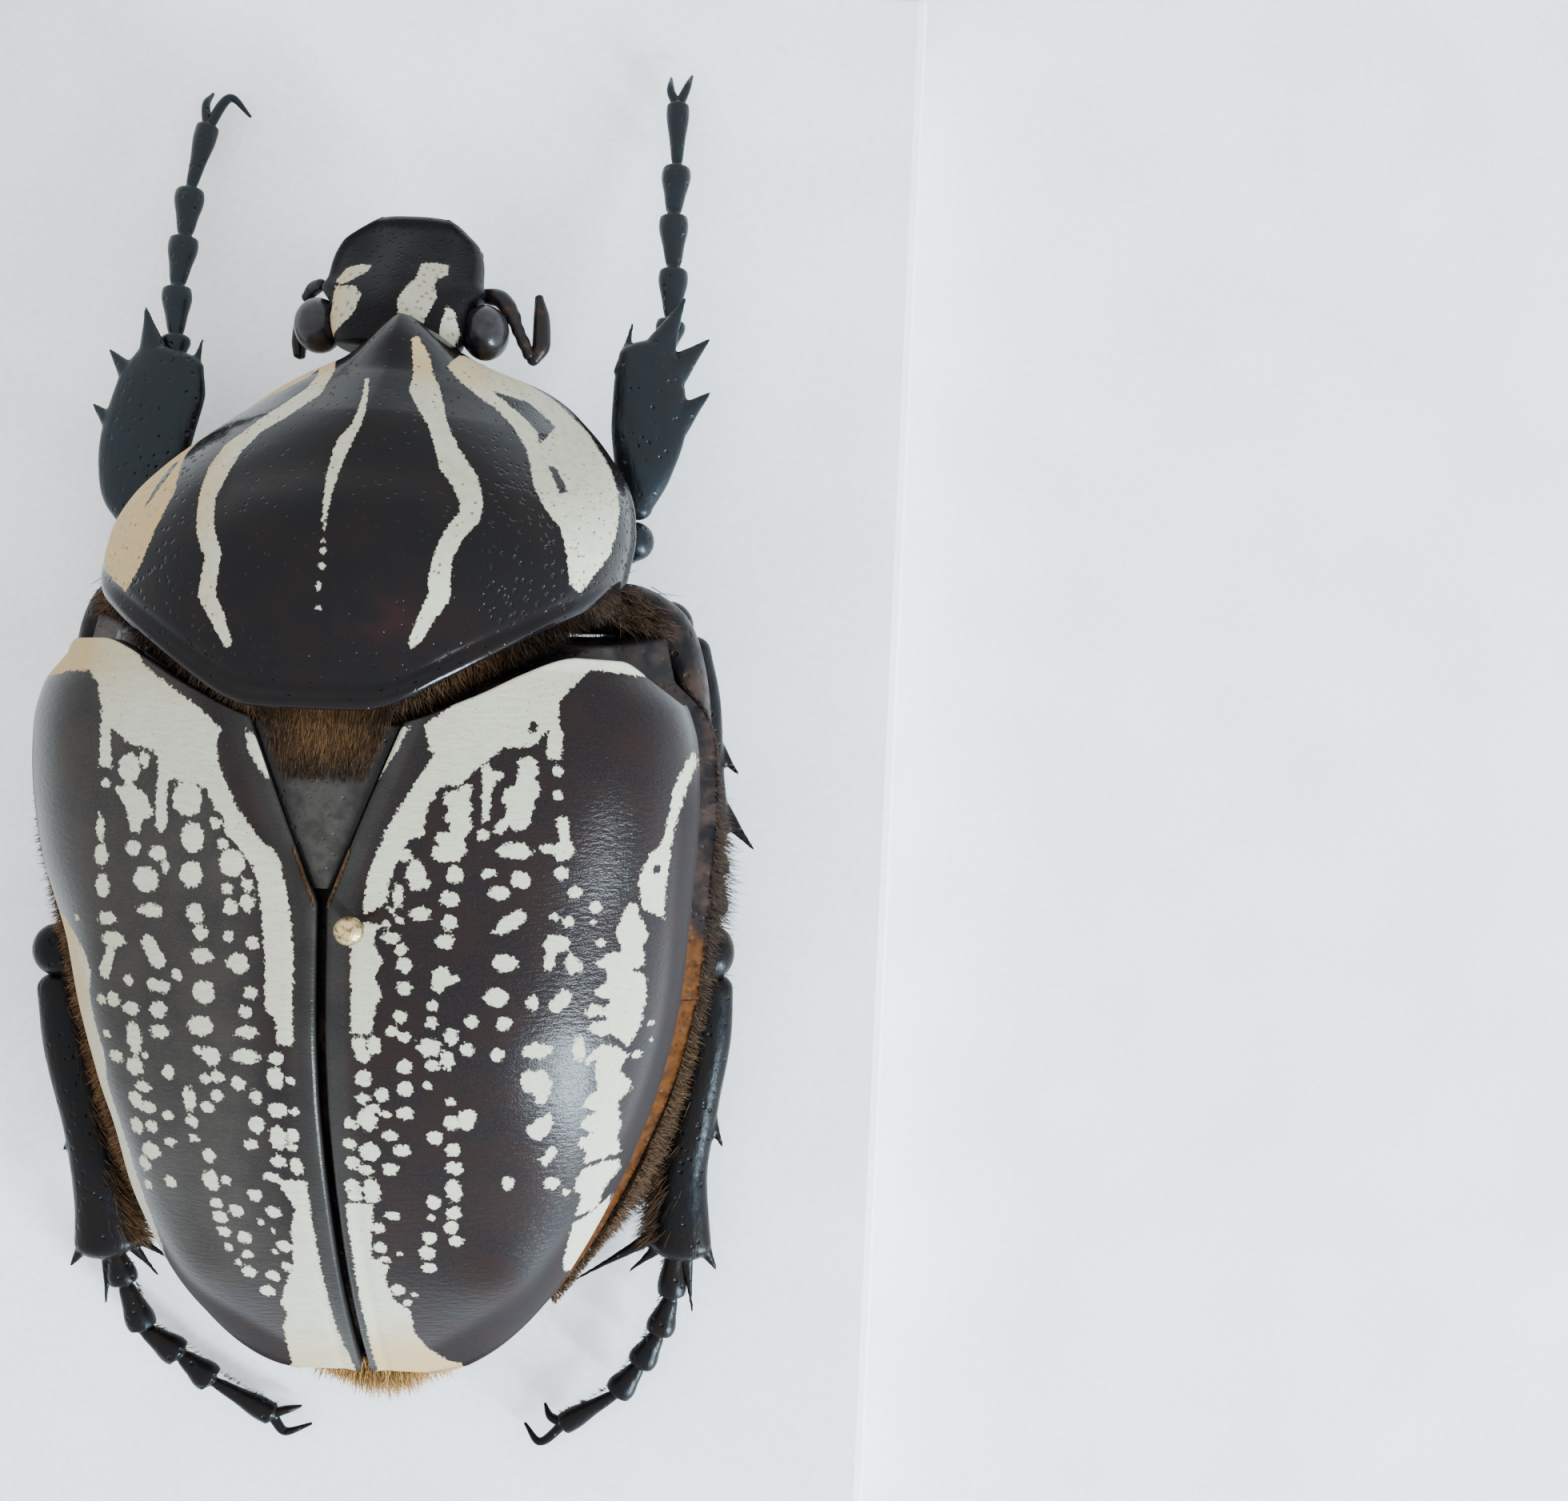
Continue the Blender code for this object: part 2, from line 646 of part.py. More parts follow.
def build_thorax(parent, body, finish):
    rings = []
    for j in range(12):
        t = j / 11
        y = THORAX_FRONT_Y + (ABDOMEN_FRONT_Y + GAP - THORAX_FRONT_Y) * t
        margin = margin_height(y)
        squeeze = 0.93 + 0.07 * min(1.0, t * 4)
        ring = body_ring(
            y,
            ((half_width(y) - ROOF_INSET) * squeeze, margin - LEDGE_DEPTH, ridge_height(y) - ROOF_INSET),
            ((half_width(y) + SIDE_BULGE) * squeeze, margin - SIDE_DEPTH, BELLY_HEIGHT),
            1.32,
            32,
        )
        for p in ring:
            if p.z > margin - 1.0:
                p.y -= THORAX_PULL * (1 - t) ** 3 * lean_share(p.x)
        rings.append(ring)
    mesh = loft("thorax", rings, front_centre=Vector((0.0, PRONOTUM_CORNER_Y - 2.6, 12.0)))
    finish_object(new_object("thorax", mesh, parent, body), finish)


def build_abdomen(parent, body, finish):
    """Abdomen with a shallow step at each belly plate, closing in the pygidium behind the wing cases."""
    rings = []
    count = 22
    wing_end = ELYTRA_BASE_Y - ELYTRA_LENGTH
    for j in range(count + 1):
        t = j / count
        y = ABDOMEN_FRONT_Y + (ABDOMEN_END_Y - ABDOMEN_FRONT_Y) * t
        inside = max(y - PYGIDIUM_REACH * t, wing_end)
        margin = float(margin_height(inside))
        narrow = float(abdomen_taper(t))
        step = STERNITE_STEP * ((t * STERNITE_COUNT) % 1.0) * (1.0 - t)
        top = ridge_height(inside) - ROOF_INSET - PYGIDIUM_DROP * t
        floor = BELLY_HEIGHT + float(abdomen_rise(t)) + step
        side = min(margin - SIDE_DEPTH, (top + floor) / 2 + 2.0)
        upper = (
            (half_width(inside) - ROOF_INSET) * narrow,
            BODY_AXIS_HEIGHT + (min(margin - LEDGE_DEPTH, top - 0.8) - BODY_AXIS_HEIGHT) * narrow,
            BODY_AXIS_HEIGHT + (top - BODY_AXIS_HEIGHT) * narrow,
        )
        lower = (
            (half_width(y + 0.4 * t) + SIDE_BULGE * (1 - t)) * narrow,
            BODY_AXIS_HEIGHT + (side - BODY_AXIS_HEIGHT) * narrow,
            BODY_AXIS_HEIGHT + (floor - BODY_AXIS_HEIGHT) * narrow,
        )
        rings.append(body_ring(y, upper, lower, 1.35 + 0.5 * min(1.0, t * 2.2), 32))
    finish_object(new_object("abdomen", loft("abdomen", rings), parent, body), finish)


def tarsus_keys(path):
    """Keys of a foot of five beads along its path; the last one is long and slender."""
    keys = []
    for i, (start, end) in enumerate(zip(path[:-1], path[1:])):
        start, end = Vector(start), Vector(end)
        last = i == len(path) - 2
        shape = ((0.02, 0.36), (0.4, 0.44), (0.85, 0.62), (0.97, 0.5)) if last else (
            (0.03, 0.42), (0.35, 0.6), (0.78, 0.76), (0.95, 0.5)
        )
        for share, radius in shape:
            keys.append((*start.lerp(end, share), radius, radius * TARSUS_FLATNESS))
    return keys


def claw(path):
    rows = [(*p, r, r) for p, r in zip(path, CLAW_RADII)]
    return limb("claw", rows, 5, 5, rounded=(False, False))


def build_leg(name, plan, parent, body, finish):
    """Upper leg, lower leg with its teeth and spurs, and foot with its claws."""
    femur = limb("femur", plan["femur"], 10, 10)
    finish_object(new_object(f"femur_{name}", femur, parent, body), finish)
    shin = limb("tibia", plan["tibia"], 9, 10)
    teeth = [tooth(*each) for each in plan["teeth"]]
    finish_object(new_object(f"tibia_{name}", combine(shin, teeth, "UNION"), parent, body), finish)
    foot = limb("tarsus", tarsus_keys(plan["foot"]), 21, 6)
    before, end = Vector(plan["foot"][-2]), Vector(plan["foot"][-1])
    root = end + (before - end).normalized() * 0.3
    claws = [claw((root, bend, tip)) for bend, tip in plan["claws"]]
    finish_object(new_object(f"tarsus_{name}", combine(foot, claws, "UNION"), parent, body), finish)


# Legs as posed, with each key (x, y, h, half width, half thickness) and each tooth (root, tip, root radius)
FRONT_RIGHT = {
    "femur": ((2.0, 12.0, 3.3, 1.4, 1.3), (4.4, 12.3, 3.4, 1.6, 1.4), (5.7, 12.5, 3.7, 1.1, 1.1),
              (8.4, 12.9, 4.5, 1.9, 1.4), (11.4, 13.3, 5.5, 1.8, 1.35), (13.5, 13.6, 6.1, 1.2, 1.15)),
    "tibia": ((13.75, 16.0, 6.3, 0.8, 0.75), (14.0, 17.8, 6.3, 1.5, 0.9), (14.3, 20.8, 6.1, 1.95, 0.9),
              (14.2, 23.6, 5.9, 1.85, 0.85), (14.1, 25.4, 5.7, 1.4, 0.75)),
    "teeth": (((15.4, 20.9, 6.1), (17.6, 22.8, 5.9), 0.95), ((15.1, 24.0, 5.9), (17.4, 26.1, 5.6), 0.95),
              ((14.6, 25.2, 5.8), (15.8, 28.4, 5.4), 0.85), ((12.9, 24.2, 5.8), (12.65, 26.6, 5.4), 0.5)),
    "foot": ((14.5, 26.9, 4.1), (14.85, 28.8, 3.7), (14.83, 31.2, 3.1), (14.78, 33.7, 2.6), (14.6, 36.1, 2.1),
             (14.65, 41.2, 1.5)),
    "claws": (((14.05, 42.1, 1.4), (13.9, 43.2, 0.8)), ((15.15, 42.4, 1.4), (15.3, 43.6, 0.8))),
}
FRONT_LEFT = {
    "femur": ((-2.0, 12.0, 3.3, 1.4, 1.3), (-4.4, 12.2, 3.4, 1.6, 1.4), (-5.8, 12.2, 3.7, 1.1, 1.1),
              (-9.0, 12.0, 4.5, 1.9, 1.4), (-12.6, 11.8, 5.5, 1.8, 1.35), (-15.0, 11.7, 6.1, 1.2, 1.15)),
    "tibia": ((-16.5, 13.4, 6.3, 0.9, 0.8), (-17.1, 15.4, 6.3, 1.8, 0.9), (-16.8, 18.6, 6.1, 2.25, 0.9),
              (-16.1, 21.4, 5.9, 2.2, 0.85), (-15.9, 23.5, 5.7, 1.5, 0.75)),
    "teeth": (((-17.7, 18.6, 6.1), (-19.7, 20.4, 5.9), 0.95), ((-16.9, 21.6, 5.9), (-18.9, 23.8, 5.6), 0.95),
              ((-16.2, 23.2, 5.8), (-16.9, 26.2, 5.4), 0.9), ((-14.3, 22.2, 5.8), (-13.4, 24.6, 5.4), 0.5)),
    "foot": ((-15.9, 24.9, 4.1), (-15.85, 26.6, 3.7), (-15.65, 28.9, 3.1), (-15.66, 31.4, 2.6),
             (-15.6, 34.2, 2.1), (-15.0, 39.4, 1.5)),
    "claws": (((-15.15, 40.4, 1.4), (-15.3, 41.2, 0.8)), ((-14.2, 40.6, 1.4), (-12.95, 40.4, 0.8))),
}
MIDDLE_RIGHT = {
    "femur": ((2.4, 1.0, 1.25, 1.3, 0.7), (5.2, 1.6, 1.9, 1.5, 0.9), (6.7, 2.2, 2.5, 1.1, 0.9),
              (10.0, 4.3, 4.0, 1.8, 1.4), (13.6, 7.0, 6.0, 1.8, 1.4), (16.4, 8.8, 7.4, 1.3, 1.2)),
    "tibia": ((17.9, 6.5, 7.4, 0.85, 0.85), (18.5, 3.4, 6.5, 1.0, 0.95), (19.0, -0.2, 5.5, 1.15, 1.0),
              (19.4, -3.2, 4.6, 1.3, 1.0)),
    "teeth": (((19.3, 1.2, 5.7), (20.4, -0.4, 5.2), 0.65), ((20.0, -2.4, 4.7), (21.5, -4.9, 3.9), 0.65),
              ((19.0, -2.8, 4.5), (18.6, -5.2, 3.4), 0.5)),
    "foot": ((19.2, -5.3, 2.8), (18.2, -7.2, 1.9), (17.1, -9.0, 1.4), (16.1, -10.8, 1.15), (15.3, -12.5, 1.1),
             (14.3, -15.6, 1.05)),
    "claws": (((14.5, -16.6, 0.95), (14.6, -17.5, 0.55)), ((13.6, -16.4, 0.95), (13.2, -17.3, 0.55))),
}
HIND_RIGHT = {
    "femur": ((2.2, -9.3, 1.25, 1.6, 0.7), (5.4, -9.5, 1.7, 1.7, 0.9), (6.9, -9.7, 2.2, 1.3, 0.9),
              (10.6, -10.3, 3.2, 2.2, 1.4), (15.0, -10.2, 4.9, 2.1, 1.4), (19.0, -9.5, 6.6, 1.2, 1.1)),
    "tibia": ((19.6, -12.2, 6.2, 0.8, 0.8), (19.3, -15.4, 5.8, 0.95, 0.95), (18.7, -20.4, 5.1, 1.1, 1.05),
              (18.2, -26.2, 4.5, 1.25, 1.1), (18.0, -29.4, 4.1, 1.65, 1.1)),
    "teeth": (((18.9, -20.8, 5.0), (20.0, -22.9, 4.7), 0.7), ((18.8, -28.4, 4.2), (20.2, -30.9, 3.6), 0.8),
              ((18.2, -29.0, 4.0), (18.7, -31.8, 3.5), 0.6), ((17.0, -28.6, 4.1), (12.7, -30.6, 3.4), 0.55),
              ((17.2, -29.2, 3.8), (15.0, -31.6, 3.2), 0.5)),
    "foot": ((17.5, -31.3, 3.0), (17.25, -33.1, 2.4), (17.1, -35.6, 1.9), (15.9, -37.6, 1.5), (14.2, -39.4, 1.3),
             (10.8, -41.6, 1.15)),
    "claws": (((9.7, -42.35, 1.05), (8.6, -42.2, 0.6)), ((9.95, -41.4, 1.05), (9.3, -40.8, 0.6))),
}
HIND_LEFT = {
    "femur": ((-2.2, -9.3, 1.25, 1.6, 0.7), (-5.4, -9.6, 1.7, 1.7, 0.9), (-6.9, -9.9, 2.2, 1.3, 0.9),
              (-10.6, -10.9, 3.1, 2.2, 1.4), (-15.0, -12.0, 4.8, 2.1, 1.4), (-18.9, -12.7, 6.5, 1.2, 1.1)),
    "tibia": ((-19.4, -15.4, 6.2, 0.85, 0.8), (-19.1, -18.6, 5.7, 1.0, 0.95), (-18.4, -23.6, 5.0, 1.15, 1.05),
              (-17.7, -28.0, 4.4, 1.3, 1.1), (-17.3, -30.4, 4.1, 1.65, 1.1)),
    "teeth": (((-18.7, -22.6, 5.1), (-20.0, -24.7, 4.7), 0.7), ((-18.1, -29.4, 4.2), (-19.5, -31.9, 3.6), 0.8),
              ((-17.5, -30.0, 4.0), (-17.4, -33.2, 3.5), 0.6), ((-16.4, -29.6, 4.1), (-13.3, -31.3, 3.4), 0.5),
              ((-16.5, -30.2, 3.8), (-14.6, -32.4, 3.2), 0.5)),
    "foot": ((-16.6, -32.2, 3.0), (-15.9, -34.2, 2.4), (-15.1, -36.5, 1.9), (-13.3, -38.1, 1.5),
             (-11.4, -39.8, 1.3), (-7.7, -42.0, 1.15)),
    "claws": (((-6.5, -42.2, 1.05), (-5.4, -42.4, 0.6)), ((-7.0, -42.9, 1.05), (-6.4, -43.7, 0.6))),
}


def turned_over(plan):
    """The same leg on the other side of the body."""
    made = {key: mirrored(plan[key], -1) for key in ("femur", "tibia", "foot")}
    made["teeth"] = [(*mirrored((root, tip), -1), radius) for root, tip, radius in plan["teeth"]]
    made["claws"] = [mirrored(pair, -1) for pair in plan["claws"]]
    return made


ANTENNA_RIGHT = ((5.15, 27.2, 9.0, 0.34, 0.34), (6.1, 26.9, 9.8, 0.45, 0.45), (6.9, 25.5, 10.0, 0.32, 0.32),
                 (7.45, 24.3, 9.9, 0.34, 0.34))
CLUB_RIGHT = ((8.25, 23.55, 9.6, 0.4, 0.4), (8.35, 24.6, 9.4, 0.46, 0.6), (8.3, 25.9, 9.3, 0.42, 0.6),
              (8.0, 27.3, 9.3, 0.18, 0.3))
ANTENNA_LEFT = ((5.2, 27.6, 8.9, 0.34, 0.34), (5.7, 27.5, 8.4, 0.4, 0.4), (6.3, 27.1, 7.8, 0.3, 0.3))
CLUB_LEFT = ((6.4, 26.3, 7.9, 0.2, 0.3), (6.45, 25.4, 8.2, 0.38, 0.55), (6.45, 24.3, 8.4, 0.42, 0.6),
             (6.4, 23.5, 8.5, 0.3, 0.4))


def main():
    for old in list(bpy.data.objects):
        bpy.data.objects.remove(old)
    body = bpy.data.collections.new("goliath_beetle")
    bpy.context.scene.collection.children.link(body)

    black = material("gloss_black", BLACK, 0.3)
    brown = material("brown_black", BROWN_BLACK, 0.45)
    rust = material("rust_brown", RUST, 0.6)
    wing = material("wing_case", BROWN_BLACK, 0.35)
    foam = material("white_foam", WHITE, 0.85)
    brass = material("brass_pin", BRASS, 0.3, 1.0)
    eye = material("eye_black", BLACK, 0.12)

    rest = new_object("beetle_rest", None, None, body)
    rest.location.z = BOARD_THICKNESS * MM
    front = new_object("prothorax_place", None, rest, body)
    front.location.x = PROTHORAX_SHIFT * MM
    face = new_object("head_place", None, rest, body)
    face.location.x = HEAD_SHIFT * MM

    build_board(body, foam)
    build_elytron(1, "elytron_right", rest, body, wing)
    build_elytron(-1, "elytron_left", rest, body, wing)
    build_scutellum(rest, body, black)
    build_pin(rest, body, brass)
    build_thorax(rest, body, brown)
    build_abdomen(rest, body, rust)

    build_prothorax(front, body, black)
    build_head(face, body, black)
    for side, name in ((1, "right"), (-1, "left")):
        finish_object(new_object(f"eye_{name}", eye_mesh(side), face, body), eye)
    build_antenna(1, "antenna_right", ANTENNA_RIGHT, CLUB_RIGHT, face, body, brown)
    build_antenna(-1, "antenna_left", ANTENNA_LEFT, CLUB_LEFT, face, body, brown)
    build_mouthparts(face, body, brown)

    legs = {
        "front_right": FRONT_RIGHT,
        "front_left": FRONT_LEFT,
        "middle_right": MIDDLE_RIGHT,
        "middle_left": turned_over(MIDDLE_RIGHT),
        "hind_right": HIND_RIGHT,
        "hind_left": HIND_LEFT,
    }
    for name, plan in legs.items():
        build_leg(name, plan, rest, body, black)


main()
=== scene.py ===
"""Looks of the pinned goliath beetle: patterned wing cases, punctured shield, legs, hair, pin and board."""

import json
import math

import bpy
import numpy as np
from bpy.props import FloatProperty, FloatVectorProperty, IntProperty, PointerProperty
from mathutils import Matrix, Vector

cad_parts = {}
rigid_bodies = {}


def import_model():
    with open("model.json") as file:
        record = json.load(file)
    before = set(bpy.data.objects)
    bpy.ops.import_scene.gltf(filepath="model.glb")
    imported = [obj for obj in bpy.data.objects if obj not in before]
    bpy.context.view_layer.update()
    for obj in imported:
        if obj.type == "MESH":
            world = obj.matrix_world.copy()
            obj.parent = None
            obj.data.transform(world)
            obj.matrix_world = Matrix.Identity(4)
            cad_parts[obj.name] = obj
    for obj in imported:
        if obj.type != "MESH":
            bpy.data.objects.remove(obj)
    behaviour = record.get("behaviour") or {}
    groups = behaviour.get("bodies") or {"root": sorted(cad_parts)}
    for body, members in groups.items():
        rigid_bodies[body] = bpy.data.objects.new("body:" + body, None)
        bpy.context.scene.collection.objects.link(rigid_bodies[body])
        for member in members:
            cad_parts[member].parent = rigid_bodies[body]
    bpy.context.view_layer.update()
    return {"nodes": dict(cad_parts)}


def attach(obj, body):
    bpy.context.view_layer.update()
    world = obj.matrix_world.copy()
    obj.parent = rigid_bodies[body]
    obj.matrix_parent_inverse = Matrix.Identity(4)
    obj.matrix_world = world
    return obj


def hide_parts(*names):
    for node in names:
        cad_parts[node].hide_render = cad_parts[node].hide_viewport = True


bl_info = {
    "name": "Pinned Goliath Beetle",
    "version": (1, 0, 0),
    "blender": (4, 5, 0),
    "location": "View3D > Sidebar > Beetle",
    "description": "Dresses the beetle's solids with patterned chitin, finer legs and hair",
    "category": "Object",
}

for leftover in list(bpy.data.objects):
    bpy.data.objects.remove(leftover)
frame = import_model()

MM = 0.001
BOARD_TOP = 8.0
GAP = 0.3

# Shapes that the solids share, in millimetres from the board's top, x to the right and y to the head
ELYTRA_BASE_Y = 5.0
ELYTRA_LENGTH = 41.2
ELYTRA_HALF_WIDTH = 18.5
ELYTRA_THICKNESS = 0.9
ELYTRA_ROUNDNESS = 2.4
BODY_TOP = 24.0
MARGIN_BASE_HEIGHT = 15.0
APEX_HEIGHT = 8.8
SCUTELLUM_TIP_Y = -7.6
SCUTELLUM_SPREAD = 0.385
SCUTELLUM_FRONT_Y = 1.8
ELYTRA_OUTLINE = (
    (0.0, 0.885), (0.044, 0.962), (0.097, 0.993), (0.17, 1.0), (0.32, 0.98), (0.437, 0.957), (0.56, 0.903),
    (0.68, 0.812), (0.777, 0.714), (0.85, 0.622), (0.922, 0.5), (0.972, 0.375), (0.992, 0.295), (1.0, 0.23),
)
ELYTRA_RIDGE = (
    (0.0, 1.0), (0.17, 0.995), (0.315, 0.95), (0.46, 0.905), (0.55, 0.835), (0.64, 0.725), (0.738, 0.572),
    (0.828, 0.408), (0.915, 0.217), (1.0, 0.0),
)
ELYTRA_MARGIN = (
    (0.0, 1.0), (0.12, 0.96), (0.22, 0.8), (0.32, 0.55), (0.44, 0.26), (0.56, 0.12), (0.73, 0.1),
    (1.0, 0.0),
)
ELYTRA_FRONT_EDGE = (
    (0.0, -3.6), (0.2, -3.1), (0.4, -1.7), (0.6, -0.2), (0.76, 0.7), (0.88, 0.7), (0.95, 0.1), (1.0, -1.4),
)
# How far the left wing case's rim lies further in than the right one's, by y
LEFT_TUCK = (
    (-37.0, 0.0), (-32.0, 0.2), (-26.0, 0.6), (-20.0, 1.45), (-11.0, 1.3), (-6.0, 0.6), (0.0, 0.5),
    (6.0, 0.2),
)
SHOULDER_BOSS = (14.2, 0.5, 3.4, 0.45)
APICAL_BOSS = (8.6, -29.6, 3.0, 0.6)

PROTHORAX_SHIFT = -0.55
HEAD_SHIFT = -0.2
PRONOTUM_FRONT_Y = 23.1
PRONOTUM_CORNER_Y = 9.6
PRONOTUM_HALF_WIDTH = 14.4
PRONOTUM_SWAY = 1.5
LOBE_START = 0.35
PROSTERNUM_HEIGHT = 5.5
PROSTERNUM_RISE = 1.4
PRONOTUM_OUTLINE = (
    (0.0, 0.22), (0.04, 0.35), (0.095, 0.485), (0.168, 0.595), (0.24, 0.67), (0.314, 0.74), (0.387, 0.8),
    (0.533, 0.905), (0.68, 0.965), (0.82, 0.99), (0.93, 0.99), (1.0, 0.97),
)
PRONOTUM_CREST = (
    (0.0, 15.6), (0.12, 17.7), (0.27, 19.8), (0.44, 22.1), (0.62, 24.5), (0.8, 25.4), (1.0, 25.5),
)
PRONOTUM_MARGIN = ((0.0, 8.8), (0.25, 9.6), (0.5, 11.6), (0.7, 13.4), (0.85, 14.2), (1.0, 14.5))
PRONOTUM_ROUNDNESS = ((0.0, 1.45), (0.25, 1.5), (0.5, 1.75), (0.75, 2.05), (1.0, 2.15))
PRONOTUM_LOBE = (
    (0.0, 7.2), (0.2, 7.15), (0.3, 6.75), (0.46, 5.5), (0.62, 4.1), (0.81, 2.4), (0.94, 1.1), (1.0, 0.0),
)

HEAD_FRONT_Y = 32.0
HEAD_REAR_Y = 23.6
EYE_PLACE = (4.85, 24.9, 10.2)
EYE_RADII = (1.4, 1.6, 1.6)
HEAD_OUTLINE = (
    (0.0, 3.5), (0.12, 3.85), (0.3, 4.15), (0.42, 4.75), (0.5, 4.5), (0.64, 4.4), (0.78, 4.05), (0.88, 3.3),
    (0.95, 2.65), (1.0, 2.0),
)
HEAD_CROWN = ((0.0, 13.4), (0.2, 13.1), (0.45, 11.8), (0.7, 10.2), (0.9, 9.0), (1.0, 8.3))
HEAD_UNDERSIDE = ((0.0, 7.2), (0.3, 6.4), (0.6, 6.5), (0.85, 7.0), (1.0, 7.4))

THORAX_FRONT_Y = 7.5
THORAX_PULL = 5.7
BODY_AXIS_HEIGHT = 5.6
LEDGE_DEPTH = 0.6
SIDE_DEPTH = 2.4
PYGIDIUM_DROP = 0.9
PYGIDIUM_REACH = 1.9
BELLY_HEIGHT = 2.4
ABDOMEN_FRONT_Y = -13.6
ABDOMEN_END_Y = -37.9
ROOF_INSET = 1.6
ABDOMEN_TAPER = ((0.0, 1.0), (0.84, 1.0), (0.91, 0.93), (0.96, 0.76), (0.985, 0.55), (1.0, 0.3))
ABDOMEN_RISE = ((0.0, 0.0), (0.4, -0.4), (0.75, 0.3), (1.0, 1.6))
SIDE_BULGE = 1.0
STERNITE_COUNT = 6
STERNITE_STEP = 0.28

PIN_PLACE = (1.95, -8.6)
PIN_SHAFT_RADIUS = 0.28
PIN_HEAD_RADIUS = 0.75
PIN_HEAD_HEIGHT = 25.3

